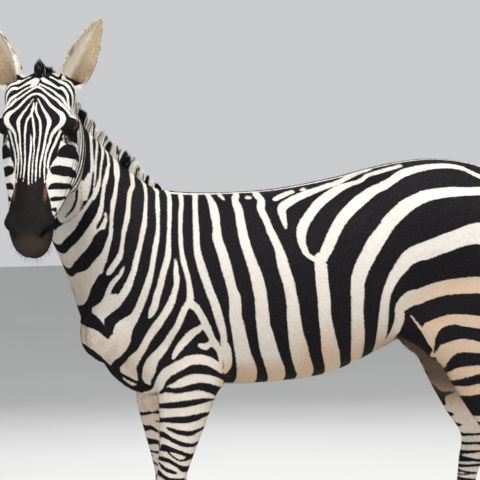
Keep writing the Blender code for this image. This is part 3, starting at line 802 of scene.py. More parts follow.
# Every stroke is a run of (x, z, width) in centimetres in the body's frame, seen from the side.
WHITE_NECK = [
    (-39.0, 128.5, 2.4, -38.8, 125.6, 1.5, -39.3, 122.5, 1.3, -39.9, 120, 1.3, -40.5, 115.8, 1.2,
     -40.8, 110, 1.3, -40.5, 106.5, 1.5, -39.9, 103.7, 1.5, -39.2, 100, 1.5, -39, 96.3, 2,
     -39.2, 94.6, 2.4),
    (-39.2, 94.6, 2.2, -40.8, 92.6, 2, -42, 90, 2, -43.2, 87.4, 1.9, -44.5, 85.5, 2.1, -46.5, 82, 2.4,
     -48, 80, 2.7, -49.5, 78.4, 3, -50.6, 76.2, 3.6, -50.8, 74.3, 3.8, -50.7, 72.5, 3.6, -50.2, 70.7, 2),
    (-39.2, 94.6, 2, -37.7, 93.2, 2.2, -36.7, 92, 2.1, -35.4, 89.6, 1.9, -34.4, 87.4, 2.2,
     -32.8, 83.9, 1.8, -31.8, 82.2, 2.1, -30.6, 80.3, 1.5, -30, 78.2, 1.2, -29.6, 75.5, 0.9,
     -29.5, 73.8, 0.8),
    (-42.7, 107.2, 0.6, -42.8, 105, 1.2, -42.9, 102.4, 1.6, -42.9, 100, 1.5, -43.6, 97.8, 1.6,
     -44.5, 95.3, 2, -46.2, 92, 2.2, -47.5, 90.2, 2.1, -48.8, 88.2, 2.4, -50.3, 86.1, 2.2,
     -52.5, 82.1, 2.1, -53.7, 80, 2.2, -55, 78.3, 2.9, -56.4, 76, 3.8, -56.5, 74.2, 4.2, -55.8, 72.6, 4,
     -54.6, 70.8, 2.5),
    (-42.6, 129, 2.2, -42.6, 126.8, 1.4, -42.4, 125.1, 1.3, -42.9, 122, 1.35, -43.5, 118, 1.2,
     -44.1, 113.8, 1.2, -44.9, 108, 1.7, -46.3, 104, 1.7, -47.5, 100, 1.8, -48.2, 98, 1.8, -49, 95.8, 2,
     -49.4, 93.8, 2, -50.3, 92, 1.8, -50.9, 90.4, 0.8),
    (-46.4, 132, 1.9, -47, 129.8, 1.2, -45.9, 127, 1.2, -46.1, 125.5, 1.05, -46.5, 122.5, 1.3,
     -46.9, 118.2, 1, -47.3, 115, 1.15, -47.9, 112.5, 1.5, -49, 108, 1.5, -49.9, 103.9, 1.5,
     -51.1, 100, 1.9, -52.7, 95.7, 2.1, -54.3, 91.9, 2.2, -55.3, 90.1, 2.6, -57, 88.3, 3.8, -58.4, 86.4, 5,
     -58.9, 84, 5.2, -60.3, 82, 6, -61.5, 80, 6, -61.4, 78, 5.5, -61, 76.2, 3),
    (-69.5, 85.5, 3.5, -67.5, 84.5, 5, -65, 82.5, 5, -62.5, 80.5, 5),
    (-49.4, 134, 2.2, -50.2, 131.6, 1.4, -49.5, 128.8, 1.2, -49.7, 125.8, 0.95, -50.3, 122, 1.05,
     -51, 118, 1.4, -51.6, 115.9, 1.6, -52.7, 111.9, 1.4, -53.9, 107.8, 1.6, -54.9, 104, 1.7,
     -55.8, 101.9, 1.8, -56.5, 100, 2.2, -57.6, 98, 2.3, -59, 96, 2.4, -60.9, 95, 4.5, -62.4, 94, 5,
     -64.3, 92, 4.5, -64.7, 90.2, 2.6, -64.2, 88.3, 1.4, -63.5, 86.7, 0.5),
    (-52.2, 136, 3, -52.8, 133, 2.0, -53.4, 131, 1.4, -53.5, 128.9, 1.3, -54.2, 127.8, 1.5, -55, 126, 1.4,
     -55.7, 122.2, 1.3, -56.1, 119.9, 1.6, -57.3, 115.8, 1.4, -57.7, 113.8, 1.1, -58.4, 110, 1.3,
     -59.1, 107.9, 1.8, -60.5, 105.9, 1.7, -61.7, 104, 1.6, -62.5, 103, 0.9),
    (-57.8, 105.2, 0.5, -58.3, 104, 0.9, -59.1, 102.6, 1, -60.1, 101.6, 1.3, -61.2, 100.2, 1.4,
     -62.3, 97.7, 1.3, -62.6, 96.5, 1.4, -63.5, 95.2, 2, -65.3, 93.8, 3),
    (-57.6, 142.5, 3.8, -58, 139.5, 3.2, -58.1, 137, 1.7, -58.3, 134.1, 1.9, -58.4, 132.2, 1.8,
     -58.7, 130.2, 1.2, -59.6, 126, 1.25, -60.2, 124, 1.5, -60.8, 119.9, 1, -61.3, 115, 1.2,
     -62.2, 111.9, 1.5, -62.8, 110, 1.7, -63.6, 108, 2.4, -64.8, 106, 3.3, -66, 104, 4.5, -68, 101.5, 6.5,
     -69.5, 99, 7.5, -70.5, 96, 6),
    (-61.8, 142, 0.4, -61.4, 141, 0.6, -60.8, 139.3, 0.8, -60.7, 137.5, 0.8, -60.8, 135.4, 0.9,
     -61.3, 134, 1.05, -61.8, 132, 1.25, -62.5, 130.1, 1.25, -63, 128, 1, -63.7, 123.9, 1.2,
     -64.2, 121.9, 1.5, -64.9, 120, 1.7, -66.2, 117.9, 1.8, -67, 116, 2.6, -68, 114, 3, -69.3, 112, 3.3,
     -71, 110, 3.5, -72.8, 108, 4, -74.5, 106, 4),
    (-62.5, 121.2, 0.6, -62.5, 119.8, 0.8, -63.1, 118, 1.3, -64.2, 115.8, 1.8, -65.4, 115, 1.8),
    (-61.2, 148, 3, -61.9, 145.5, 2.4, -62.3, 143.5, 1.4, -62.4, 142.3, 1, -62.2, 140.5, 0.9,
     -62.3, 139, 0.9, -62.8, 137, 0.8, -63.2, 135.5, 0.7, -63.6, 134, 0.7, -63.9, 131.6, 0.7,
     -64.3, 130.2, 1, -65, 128.1, 1.2, -66.1, 126.1, 1.3, -66.8, 124.7, 1.6, -68.1, 122.8, 1.8,
     -69.7, 120.2, 2.4, -71.5, 118, 3, -73.6, 116, 4, -75.5, 114.7, 4),
    (-65.4, 150.5, 0.8, -65, 148.7, 0.5, -64.3, 147.2, 0.6, -63.8, 144.8, 0.8, -63.7, 142.5, 0.8,
     -64.4, 139.3, 0.8, -65, 136.1, 0.6, -65.2, 133.9, 0.7, -65.4, 132.3, 0.6, -65.7, 130, 0.5,
     -66.1, 127, 0.4),
    (-68.2, 152.7, 0.5, -67.4, 150.8, 0.8, -67.1, 148.7, 0.8, -66.9, 147.3, 0.7, -66.2, 145.6, 0.8,
     -65.9, 144, 0.9, -66.1, 139.3, 0.9, -66.1, 137, 0.9, -66.2, 134.6, 1, -66.8, 133.1, 1.2,
     -67.5, 131.5, 1.8, -68.2, 129, 2.4, -69, 126, 2.2),
    (-66.9, 152, 0.4, -66.6, 151, 0.6, -66.1, 149.2, 0.8, -65.9, 147.6, 0.9, -65.5, 146, 0.9,
     -65.3, 144.5, 0.8, -65.2, 143, 0.4),
    (-72.5, 150, 5, -71.5, 142, 6, -71, 134, 6.5, -72, 127, 6.5, -73.5, 121, 5.5, -77, 118, 6, -82, 118, 8),
    (-79, 150, 9, -79, 140, 10, -79, 130, 10, -80, 122, 8),
]
BLACK_NECK = [
    (-68.6, 151, 0.5, -68.0, 147, 1.0, -67.6, 143.3, 1.4, -67.4, 139, 1.6, -67.3, 136, 1.3,
     -67.1, 133.2, 0.4),
    (-71.1, 140, 0.4, -71.1, 131.4, 0.7, -71, 128, 0.7, -71.3, 125, 0.8, -72.2, 122.6, 0.8,
     -74, 120.3, 0.6),
    (-69.4, 142, 0.3, -69.7, 136, 0.4, -69.8, 130, 0.3, -69.7, 126, 0.3, -70.3, 122.5, 0.3,
     -72, 119.9, 0.35, -75.2, 118, 0.4),
    (-74.5, 142, 0.5, -74.3, 134, 0.9, -74.6, 127, 0.8, -76, 122, 0.6),
    (-77.5, 140, 0.6, -77.8, 132, 0.9, -78.5, 125, 0.7),
    (-65.7, 124, 2.4, -66.8, 122, 2.8, -67.9, 120, 3.1, -69, 118, 3.1, -70.3, 116, 2.7, -71.9, 114, 2.7,
     -73.8, 112.6, 2.3, -75.8, 112.6, 2, -77, 113, 1.2),
    (-63.3, 115.4, 2, -64.3, 114, 3.3, -65.1, 112, 3.5, -66.1, 110, 3.7, -67.7, 108, 3.9, -69, 106, 3.7,
     -70.3, 105, 3, -72, 104, 2, -73.5, 103, 1.5, -75.5, 104, 0.8),
    (-63.6, 101.8, 3, -64.2, 100, 3.5, -65, 98, 3.8, -65.6, 96, 3.6, -67, 94, 2.4, -68, 93, 1.8,
     -71.5, 92, 1.4),
    (-69.6, 90.7, 4.5, -67, 89.2, 4, -65, 87.7, 2.5, -63.4, 86.2, 0.9, -62.4, 84.2, 0.5),
    (-69, 81, 1, -67, 79.8, 1.8, -65, 78.4, 1.5),
    (-69.8, 82.3, 0.8, -65.2, 78.7, 0.9, -61.5, 75.1, 1.0, -58.2, 73.0, 1.0, -55.1, 71.2, 1.0,
     -51.9, 69.9, 1.0, -48.9, 69.0, 1.0),
    (-57.2, 79.6, 1.6, -58.4, 77.6, 2.2, -59.6, 76.2, 2.7, -60.4, 75.2, 1.8),
    (-48.1, 74.3, 1.6, -49.2, 71.2, 1.2, -48.9, 69.0, 0.9),
]
WHITE_BARREL = [
    (-34.6, 129, 2.6, -34.3, 126.8, 1.8, -34.4, 125.5, 1.6, -35.1, 122.9, 1.5, -35.6, 119.9, 1.5,
     -36.05, 114, 1.8, -36.2, 110.1, 1.85, -35.9, 107.5, 2.2, -34.7, 102.4, 2.4, -34, 100, 2.3,
     -33.1, 97.2, 2.3, -32.1, 94.6, 2.4, -30.8, 90, 2.4, -30.2, 87.8, 2.3, -29.4, 85.1, 1.9,
     -29.1, 82.6, 1.8, -28.3, 80.2, 2.7, -27.4, 75.5, 2.5, -28, 73.6, 1.8),
    (-30.8, 128.2, 1.4, -30.8, 126.4, 1.2, -30.4, 124.8, 1.6, -30, 122.8, 2.2, -29.9, 120, 2.5,
     -29.9, 116, 2.2, -30.1, 113.7, 2.7, -29.9, 112, 2.8, -28.7, 107.4, 2.9, -28.2, 104.8, 3,
     -27.1, 100, 2.7, -26.6, 97.5, 2.7, -26, 95.4, 3.3, -25.9, 90, 3.5, -25.3, 87.5, 3.8, -24.2, 82.5, 4.1,
     -23, 78.1, 4.5, -21.5, 73.8, 5.6, -21, 71.8, 6, -20.5, 68, 6.5),
    (-27.3, 125.8, 0.8, -26.8, 124.9, 1.3, -26.1, 123.9, 0.6),
    (-21.6, 127.6, 1.6, -22.1, 125.1, 1.7, -23, 123.8, 1.9, -22.8, 121.7, 2.5, -22.6, 119.9, 2.3,
     -22.7, 117.5, 2.6, -22.3, 112.3, 2.8, -21.1, 107.2, 2.9, -19.6, 102, 3.4, -18.9, 98.1, 3.8,
     -18.5, 95.5, 3.6, -18.1, 90.2, 3.9, -17.8, 87.2, 3.9, -17.1, 84.6, 4.4, -15.9, 80.2, 4.9,
     -13.9, 75.7, 4.9, -12.7, 73.6, 5, -11.5, 70.6, 5, -11, 67.5, 5),
    (-19.4, 124.3, 0.8, -18.2, 124.4, 0.9),
    (-16.4, 127.5, 1.6, -15.9, 125, 2.2, -15.2, 123.7, 1.9, -15.7, 122.2, 2.2, -16, 120.7, 2.2,
     -14.9, 117.1, 2, -14.3, 114.6, 2.2, -12.6, 109.9, 2.4, -11.9, 107, 3.1, -11.5, 104.4, 3.3,
     -10.3, 100, 3.4, -9.5, 95.3, 3.4, -9.1, 92.7, 3.7, -8.95, 90, 3.9, -8, 84.3, 4.5, -6.8, 80.2, 5.2,
     -4.9, 75.4, 5.2, -3, 72, 5, -2.5, 68, 5),
    (-11.5, 123.6, 0.8, -9.9, 124.3, 1.2, -7.3, 125.2, 1.1, -5.1, 125.9, 0.8),
    (-2.8, 126.2, 0.6, -1.4, 126.6, 0.7),
    (-9.7, 115.6, 0.8, -9.9, 117.7, 1.7, -10.1, 119.7, 2.2, -9.8, 121.2, 2.4, -8.5, 122.2, 2.2,
     -5.1, 123.9, 1.8, -1.5, 125.2, 1.7, 2.3, 126.4, 1.3, 4.9, 127.2, 1.2, 7.9, 128, 1.1, 11, 129.2, 1,
     15, 130.8, 0.9, 20, 132.3, 0.8),
    (-2.3, 106.4, 1.5, -4.2, 107.8, 1.5, -4.9, 109.4, 2, -5.4, 111.2, 2.4, -5.4, 113.3, 2.7,
     -4.9, 115.1, 3, -4.1, 116.6, 2.9, -2.6, 118.5, 2.7, -1.2, 120, 2.6, 0.7, 121.9, 2.6, 3.1, 123.6, 2.4,
     6, 125.3, 2.2, 9, 126.8, 1.7, 12.2, 127.9, 1.2, 15.5, 128.9, 1, 17.9, 130.3, 0.9, 24, 131.9, 0.9,
     28.6, 133, 0.8),
    (-0.5, 107, 2.5, -0.3, 104.1, 3.7, -0.2, 101.5, 3.8, 0, 97.7, 3.8, 0.3, 95.1, 3.9, 0.6, 90.1, 3.8,
     1, 87.3, 4, 1.7, 84.7, 4.3, 2.8, 80.1, 5, 4, 77.2, 5.2, 5, 74.7, 5, 6, 72.3, 5, 7, 69, 5),
    (-0.3, 105, 2.5, 0.8, 107.5, 3, 2.3, 109.9, 3.4, 4.5, 113.9, 3.3, 7.4, 117.9, 3.3, 9.7, 120, 3.2,
     12.5, 122.3, 3.2, 15.8, 124.5, 2.9, 18.6, 126.2, 2.4, 21.5, 127.3, 2.3, 24.5, 128.9, 2.1,
     27.6, 130.6, 2.1, 30.7, 131.5, 1.9, 34, 132.2, 1.7, 39.6, 132.8, 1.4, 45.9, 132.3, 1.3,
     50, 130.4, 1.2, 56, 127, 1.4, 61, 123, 1.6, 66, 118, 1.6),
    (14.5, 70, 3.6, 13.5, 75, 3.8, 12.6, 77.8, 4.3, 11.9, 82.2, 4.4, 11.4, 85, 4.3, 10.8, 90.5, 3.8,
     10.75, 93.6, 4.1, 10.8, 98.9, 4.3, 11.5, 101.6, 4.6, 12.6, 104.2, 4.6, 14.2, 106.8, 4.6,
     16.3, 110.2, 4.8, 19.7, 114.3, 4.1, 21.8, 116.9, 4.1, 24.6, 119.4, 4, 27, 121.2, 4, 29.95, 122.7, 3.6,
     32.9, 123.9, 3.4, 35.7, 124.5, 3.1, 41.2, 125.1, 2.8, 47, 125.1, 2.4, 50.8, 125.1, 2.4,
     56, 123.5, 2.4, 61, 119.5, 2.4, 66, 113, 2.4, 69, 107, 2.2),
    (20.5, 71, 2, 19.5, 74.4, 2.2, 20, 76, 2.4, 20, 81.5, 3.4, 19.7, 87, 3.4, 19.6, 89.8, 3.1,
     19.7, 93.1, 2.9, 20.2, 95.7, 3, 21.4, 98.4, 3.2, 22.9, 101.1, 3.6, 25, 103.7, 4.2, 26.8, 105.9, 4.5,
     29.3, 107.2, 4.9, 32.6, 108, 5.4, 38, 109.9, 5.4, 43.6, 111.8, 5.5, 46.4, 112.5, 6, 49.2, 112.7, 6.4,
     55, 112, 5.6, 62, 109, 5, 68, 103.5, 4.4, 73, 98, 4),
    (21.5, 77, 1.6, 22.2, 79, 2, 23.3, 81, 2.2, 24.6, 85.5, 2.8, 25, 88, 3, 24.8, 91, 3.2, 26.5, 92.6, 4.6,
     28.4, 93.8, 4.8, 30.4, 94, 4.6, 33, 95, 4.5, 38.4, 96.5, 4.5, 43.9, 97, 4.8, 49.4, 97.1, 5.1,
     56, 96.5, 5, 64, 95, 4.6, 72, 93, 4),
]
WHITE_THIGH = [
    (33.5, 84.6, 2.4, 36, 85.7, 3.2, 40.2, 86.8, 3.3, 43.8, 86.6, 3.5, 49.3, 85.9, 3.7, 56, 85, 3.6,
     64, 83.5, 3.4, 71, 82.5, 3.2),
    (35.2, 83.9, 3.4, 37.6, 84.6, 2.6),
    (38.2, 76.9, 2.6, 41.0, 77.4, 2.6),
    (38.9, 73.8, 1.6, 40.0, 75.0, 1.0),
    (39.2, 75.2, 1.3, 40.6, 75.9, 0.9),
    (33.9, 84.6, 3.6, 34.6, 81.8, 2.5, 36.0, 78.4, 1.9, 37.6, 75.4, 1.7, 39.4, 72.2, 1.6, 41.2, 68.6, 1.6),
    (28.4, 88.4, 0.4, 30.4, 85.8, 0.7, 32.8, 82.6, 0.8, 34.4, 79.6, 0.8),
    (35.8, 76.5, 2, 37.1, 77.4, 3, 39, 78.2, 3.6, 43.8, 79, 4.1, 46.6, 78.7, 3.6, 49.3, 78.3, 3.4,
     56, 77.8, 3.2, 62, 77, 3, 70, 76, 3),
    (40, 69.5, 3, 42, 70.3, 4, 46.9, 71.3, 3, 49.5, 71.7, 2.6, 56, 71.8, 2.5, 62, 71.5, 2.4, 68, 71, 2.4),
    (43, 65, 3, 46, 65, 3, 49.8, 65.7, 3.1, 58, 66, 3, 66, 66, 3),
]
BLACK_THIGH = [
    (35.8, 77.0, 0.5, 36.3, 79.5, 1.6, 37.0, 81.6, 2.6, 38.6, 83.4, 3.0, 41.5, 83.8, 3.4),
    (39.5, 69.9, 0.4, 40.4, 71.7, 1.8, 42.0, 73.2, 2.6, 44.5, 73.9, 2.8),
]
WHITE_ELBOW = [
    (-35.5, 87.2, 1.5, -37, 86.3, 2, -38.8, 85, 2.4, -40.4, 83.4, 2.4, -42, 81.6, 2.1, -43.3, 79.8, 1.7,
     -44.1, 78.2, 0.9),
    (-36, 81.6, 1.5, -34.6, 81.2, 1.8, -33.3, 82, 1.8),
    (-47.8, 68.6, 1.6, -47.6, 69.5, 2, -47.2, 71.6, 2.6, -46, 73.7, 3, -44.2, 75, 3, -42, 76.1, 3,
     -39.7, 77.3, 2.9, -37.1, 77.6, 2.8, -34.4, 77.2, 2.7, -32, 76.1, 2.5, -30.2, 74.5, 2, -29.4, 73.4, 1),
    (-45.4, 69.6, 0.8, -43.7, 70, 1.6, -41.9, 70.8, 2.4, -39.5, 71.7, 2.8, -37.1, 72, 2.8,
     -34.3, 71.7, 2.6, -31.8, 71, 2.5, -29.8, 70, 2.4),
]
BLACK_FORELEG = [
    (-47.3, 67.6, 0.8, -46, 68.6, 1.4, -44, 68.5, 1.6, -42, 68.5, 1.7, -39.5, 69.1, 2, -36.9, 69.6, 2.3,
     -34.2, 69.4, 2.2, -32, 69, 1.6, -30, 68.4, 1.2, -26, 68, 1),
    (-49.5, 62.6, 0.6, -48, 63.3, 0.9, -46, 63.9, 1.8, -42.1, 64.3, 2, -38.1, 64.8, 2, -34.7, 65.2, 1.5,
     -32.3, 65.2, 0.8, -29, 65, 0.6),
    (-49.5, 59, 1, -48, 59.2, 1.5, -46, 59.6, 1.5, -43.4, 59.7, 2, -40.8, 59.7, 2.2, -37.4, 60.2, 2.1,
     -34.7, 60.8, 1.4, -32, 61, 1),
    (-45.6, 57.2, 0.8, -43.7, 56.4, 1.3, -41.6, 55.8, 1.5, -39, 55.5, 1.6, -36.6, 56.2, 1.2, -33, 57, 0.9),
    (-50, 55.4, 1.6, -48, 55.1, 2, -46.8, 55.2, 1.7, -44.7, 53.9, 1.3, -42.3, 52.7, 1.4, -40, 52, 1.3,
     -37.9, 51.9, 1.2, -34.5, 52.9, 0.9),
    (-50, 51.4, 1.8, -48, 51.3, 2.1, -46.4, 51.2, 2.1, -44.5, 50.7, 1.5, -42.3, 50, 1.2, -40.3, 49.1, 1.2,
     -38.5, 48.5, 1.6, -35.5, 48.8, 1.2),
    (-45.5, 49.8, 0.6, -44, 48.5, 0.6, -42.5, 47.6, 0.6, -41.2, 47.5, 0.8, -39.5, 47.9, 1, -37.8, 48.4, 1),
    (-50, 48.5, 0.9, -48.6, 48.3, 0.9, -47, 47.9, 1.4, -45.5, 47.5, 1.3, -43.8, 46.5, 1.1,
     -42.4, 45.6, 1.2, -41.3, 44.9, 1.8, -40, 44.7, 1.9, -37.5, 45.2, 1.2),
    (-49.5, 46.8, 0.5, -47.8, 46.5, 0.5, -47, 45.4, 1, -45.5, 44.5, 1.2, -43.5, 43.8, 0.9),
    (-50.5, 45.2, 1, -49, 44.8, 1, -48, 43.6, 1.2, -46.5, 42.4, 1.2, -45, 41.8, 1.2, -41, 41.6, 1.0),
]

# On the head the strokes are runs of (degrees round the face, S in cm, width in cm).
WHITE_FACE = [
    (2, 10.2, 0.3, 1.9, 12.4, 0.6, 4.3, 14, 0.6, 8, 15.4, 0.6, 10, 17, 0.6, 10.6, 18.5, 0.65, 11, 20, 0.6,
     10.7, 22, 0.5, 10.2, 24, 0.5, 9, 27.6, 0.55, 9.5, 30.6, 0.55, 10.2, 33.7, 0.4),
    (3, 9, 0.3, 7.5, 10.7, 0.4, 11.6, 12.3, 0.6, 16, 13.7, 0.8, 19.8, 15.1, 1, 21.4, 16, 1.15,
     21.1, 17.1, 1, 20.2, 18.4, 0.8, 19, 20, 0.65, 18.5, 21.8, 0.6, 17.8, 24, 0.6, 15.4, 27.6, 0.5,
     15.2, 30, 0.45, 16.4, 32.4, 0.4),
    (0, 7.3, 0.6, 6.3, 7.7, 0.75, 12, 8.7, 0.75, 16.5, 9.8, 0.75, 20.6, 11, 0.8, 25.5, 11.8, 0.85,
     30.5, 12.6, 0.95, 34.4, 13.5, 1.1, 36.5, 14.5, 1.2, 37.2, 15.6, 1.25, 35.8, 16.6, 1.2, 32, 17.7, 1,
     29, 18.7, 0.9, 26.8, 19.7, 0.8, 25.6, 21.5, 0.7, 23.5, 23.3, 0.65, 22, 25, 0.6, 21.5, 27.6, 0.6,
     22.6, 30.6, 0.5, 25.2, 33.5, 0.4),
    (41.5, 17.7, 0.5, 38.3, 18.2, 0.7, 37, 19.2, 0.75, 35.5, 20.3, 0.8, 33.5, 21.9, 0.8, 30.4, 23.7, 0.7,
     28.5, 25.5, 0.7, 27.3, 27.6, 0.7, 27.6, 29, 0.65, 30, 30.4, 0.6, 29.8, 32, 0.7, 30, 34, 0.7,
     34, 36, 0.8, 40, 38.6, 0.7),
    (39.5, 12.0, 0.6, 45, 13.0, 1.3, 52, 13.4, 1.4, 58, 13.2, 1.2),
    (45, 10.6, 0.8, 51, 11.4, 1.6, 58, 12.0, 2.2, 66, 12.2, 2.2, 76, 12.6, 1.6),
    (47, 19.3, 1.6, 58, 19.8, 1.4, 71, 20, 1.2, 82, 20, 1.4),
    (44, 21.8, 1.1, 42, 23.7, 0.7, 40.5, 24.6, 0.4),
    (-2, 4.8, 0.5, 7, 5.7, 0.6, 15, 7.1, 0.6, 21.8, 8.2, 0.7, 29, 9.2, 0.7, 34, 10.4, 0.7, 37.5, 11.3, 0.6,
     41, 12.4, 0.6),
    (2, 3.9, 0.5, 10.3, 4.8, 0.5, 18, 5.6, 0.6, 24.5, 6.6, 0.6, 29.5, 7.7, 0.6, 34.5, 8.8, 0.6,
     38.5, 10, 0.6, 44, 11.6, 0.6),
    (2, 1.2, 1, 7.5, 2.4, 1.3, 14, 3.2, 1.2, 21.5, 4, 0.9, 27, 4.8, 0.6, 30.5, 5.5, 0.5),
    (31, 5, 0.6, 35, 6.3, 0.7, 39, 7.7, 0.7, 41.5, 9.2, 0.6, 43.5, 10.2, 0.5),
    (17, 1, 0.6, 24, 1.7, 0.6, 31, 2.7, 0.7, 36, 4, 0.9, 41, 5.3, 1, 46, 6.6, 0.9, 50, 8.6, 0.8,
     53, 11, 0.8),
    (56, 5, 1.6, 58, 8, 1.4, 59, 11, 1.2, 60, 13, 0.8),
    (60, 25.6, 2.4, 50, 25.9, 2.2, 42, 26.6, 2.0, 36, 27.9, 1.5, 31.5, 29.6, 1.0, 29.5, 31.5, 0.6),
    (66, 4, 1.2, 68, 8, 1.2, 69, 11.5, 0.9, 70, 13.4, 0.6),
    (78, 4, 1.4, 80, 8, 1.4, 81, 12, 1.2, 84, 16, 1.0),
    (24, -1.6, 2.2, 34, -0.4, 2.8, 45, 1.6, 3.0, 56, 3.2, 3.2, 74, 3.0, 3.2, 95, 2.5, 3),
]
WHITE_MIDFACE = [
    (-4.3, 12.2, 0.3, -2.6, 14, 0.4, -0.3, 16, 0.55, 1.5, 18, 0.6, 2.8, 20, 0.6, 2.7, 22, 0.5,
     4.2, 24.4, 0.35, 3.5, 27.6, 0.4, 3.9, 30.6, 0.4, 4.8, 34.4, 0.3),
    (-2.5, 20, 0.3, -1.3, 22, 0.5, -1, 24.4, 0.6, -1.7, 27.6, 0.6, -1.8, 30.6, 0.55, 0, 35.5, 0.4),
]
BLACK_CHEEK = [
    (41.5, 18.7, 0.8, 40.3, 20.3, 0.8, 39, 22, 0.9, 38, 23.5, 1, 37, 24.6, 1.2, 35.6, 25.8, 1.1,
     33.2, 27.0, 0.8, 31.2, 28.4, 0.5, 30.6, 29.6, 0.3),
    (41, 25, 0.5, 45, 24.3, 1.9, 50, 23.4, 3.2, 60, 22.5, 4.1, 70, 22.3, 3.8, 80, 22, 2.8, 90, 22, 2.2,
     100, 22.2, 1.4),
    (35, 29.7, 0.8, 36.5, 29.6, 1.7, 40, 29.3, 2.5, 50, 28.8, 2.8, 60, 28.5, 3, 70, 28, 2.8, 80, 27.7, 2.6,
     90, 27.3, 2.2, 100, 27, 1.6, 108, 26.8, 0.6),
    (33.5, 35.2, 0.5, 36, 34.7, 1.2, 40, 34.1, 1.8, 50, 33.4, 2, 60, 32.9, 1.9, 70, 32.4, 1.8,
     80, 31.7, 1.6, 90, 31.2, 1.4, 100, 30.8, 1.1, 110, 30.4, 0.7),
    (40.5, 38, 0.6, 43, 37.8, 1.1, 50, 37.3, 1.4, 60, 36.7, 1.3, 70, 36.1, 1.2, 80, 35.3, 1, 92, 34.5, 0.5),
    (45, 40.8, 0.6, 53, 40.3, 1.1, 62, 39.9, 1.2, 68, 40.6, 0.7),
    (64, 41.5, 0.5, 74, 40.6, 0.9, 84, 38.2, 1.2, 93, 35.0, 1.2, 101, 31.0, 1.0, 107, 26.0, 0.8,
     109, 20.0, 0.6),
]
FACE_CM = 0.20  # centimetres on the face for one degree


class Chart:
    """A flat chart of signed distances in centimetres: above 0 is black, below 0 is white."""

    STEP = 0.2

    def __init__(self, low, high, ground):
        self.low = np.array(low, dtype=float)
        size = np.ceil((np.array(high) - self.low) / self.STEP).astype(int) + 1
        self.value = np.full(size, float(ground))
        self.u = self.low[0] + np.arange(size[0]) * self.STEP
        self.v = self.low[1] + np.arange(size[1]) * self.STEP

    def window(self, a, b, margin):
        low = np.minimum(a, b) - margin
        high = np.maximum(a, b) + margin
        i0, j0 = np.clip(((low - self.low) / self.STEP).astype(int), 0, None)
        i1, j1 = ((high - self.low) / self.STEP).astype(int) + 2
        return slice(i0, max(i1, i0)), slice(j0, max(j1, j0))

    def draw(self, run, black, across=1.0):
        keys = np.array(run, dtype=float).reshape(-1, 3)
        keys[:, 0] *= across
        line = np.array(spline(keys, 3))
        for a, b in zip(line, line[1:]):
            wide = max(a[2], b[2]) / 2
            here = self.window(a[:2], b[:2], 2.2 + wide)
            u, v = self.u[here[0]][:, None], self.v[here[1]][None, :]
            run_u, run_v = b[0] - a[0], b[1] - a[1]
            t = ((u - a[0]) * run_u + (v - a[1]) * run_v) / (run_u * run_u + run_v * run_v + 1e-9)
            t = np.clip(t, 0, 1)
            inside = (a[2] + (b[2] - a[2]) * t) / 2 - np.hypot(u - a[0] - t * run_u, v - a[1] - t * run_v)
            if black:
                self.value[here] = np.maximum(self.value[here], inside)
            else:
                self.value[here] = np.minimum(self.value[here], -inside)

    def ground(self, low, high, black):
        """Fills a box of the chart, with a soft border."""
        u, v = self.u[:, None], self.v[None, :]
        inside = np.minimum(np.minimum(u - low[0], high[0] - u), np.minimum(v - low[1], high[1] - v))
        inside = np.minimum(inside, 3.0)
        self.value = np.maximum(self.value, inside) if black else np.minimum(self.value, -inside)

    def read(self, u, v):
        i = np.clip((u - self.low[0]) / self.STEP, 0, self.value.shape[0] - 1.001)
        j = np.clip((v - self.low[1]) / self.STEP, 0, self.value.shape[1] - 1.001)
        a, b = i.astype(int), j.astype(int)
        s, t = i - a, j - b
        value = self.value
        low = value[a, b] * (1 - s) + value[a + 1, b] * s
        high = value[a, b + 1] * (1 - s) + value[a + 1, b + 1] * s
        return low * (1 - t) + high * t


def leg_bars(chart, x_low, x_high, z_high, z_low, pitch, width, seed):
    """Uneven bars round a lower leg, some slanted and some forked."""
    pick = np.random.default_rng(seed)
    z = z_high
    while z > z_low:
        tilt, sag = pick.uniform(-0.9, 0.9), pick.uniform(-0.5, 0.5)
        thick = width * pick.uniform(0.75, 1.25)
        middle = (x_low + x_high) / 2
        run = (x_low, z - tilt, thick, middle, z + sag, thick * 0.9)
        run += (x_high, z + tilt, thick * pick.uniform(0.5, 1.0))
        chart.draw(run, True)
        if pick.random() < 0.3:
            side = pick.choice([x_low, x_high])
            chart.draw((side, z - pitch * 0.55, thick * 0.8, middle, z + sag * 0.5, thick * 0.6), True)
        z -= pitch * pick.uniform(0.85, 1.15)


def body_chart():
    chart = Chart((-92, -4), (82, 168), 3.0)
    for run in WHITE_NECK + WHITE_BARREL:
        chart.draw(run, False)
    for run in BLACK_NECK:
        chart.draw(run, True)
    for run in WHITE_THIGH + WHITE_ELBOW:
        chart.draw(run, False)
    chart.draw((-41, 50, 38, -41, -2, 38), False)
    chart.draw((-28, 69, 1.5, -24, 66, 3), False)
    chart.draw((57.5, 47.5, 27, 57.5, -2, 27), False)
    for run in BLACK_FORELEG + BLACK_THIGH:
        chart.draw(run, True)
    leg_bars(chart, -52, -36, 39.2, 8.5, 2.25, 1.15, 3)
    for z, wide in ((62.4, 2.0), (58.3, 1.8), (54.8, 1.4), (51.6, 1.3), (48.7, 1.2), (46.0, 1.1)):
        chart.draw((42, z - 1.2, wide, 52, z, wide, 62, z + 0.6, wide * 0.9, 70, z + 1.4, wide * 0.7), True)
    leg_bars(chart, 50, 68, 43.6, 8.5, 2.45, 1.05, 5)
    return chart


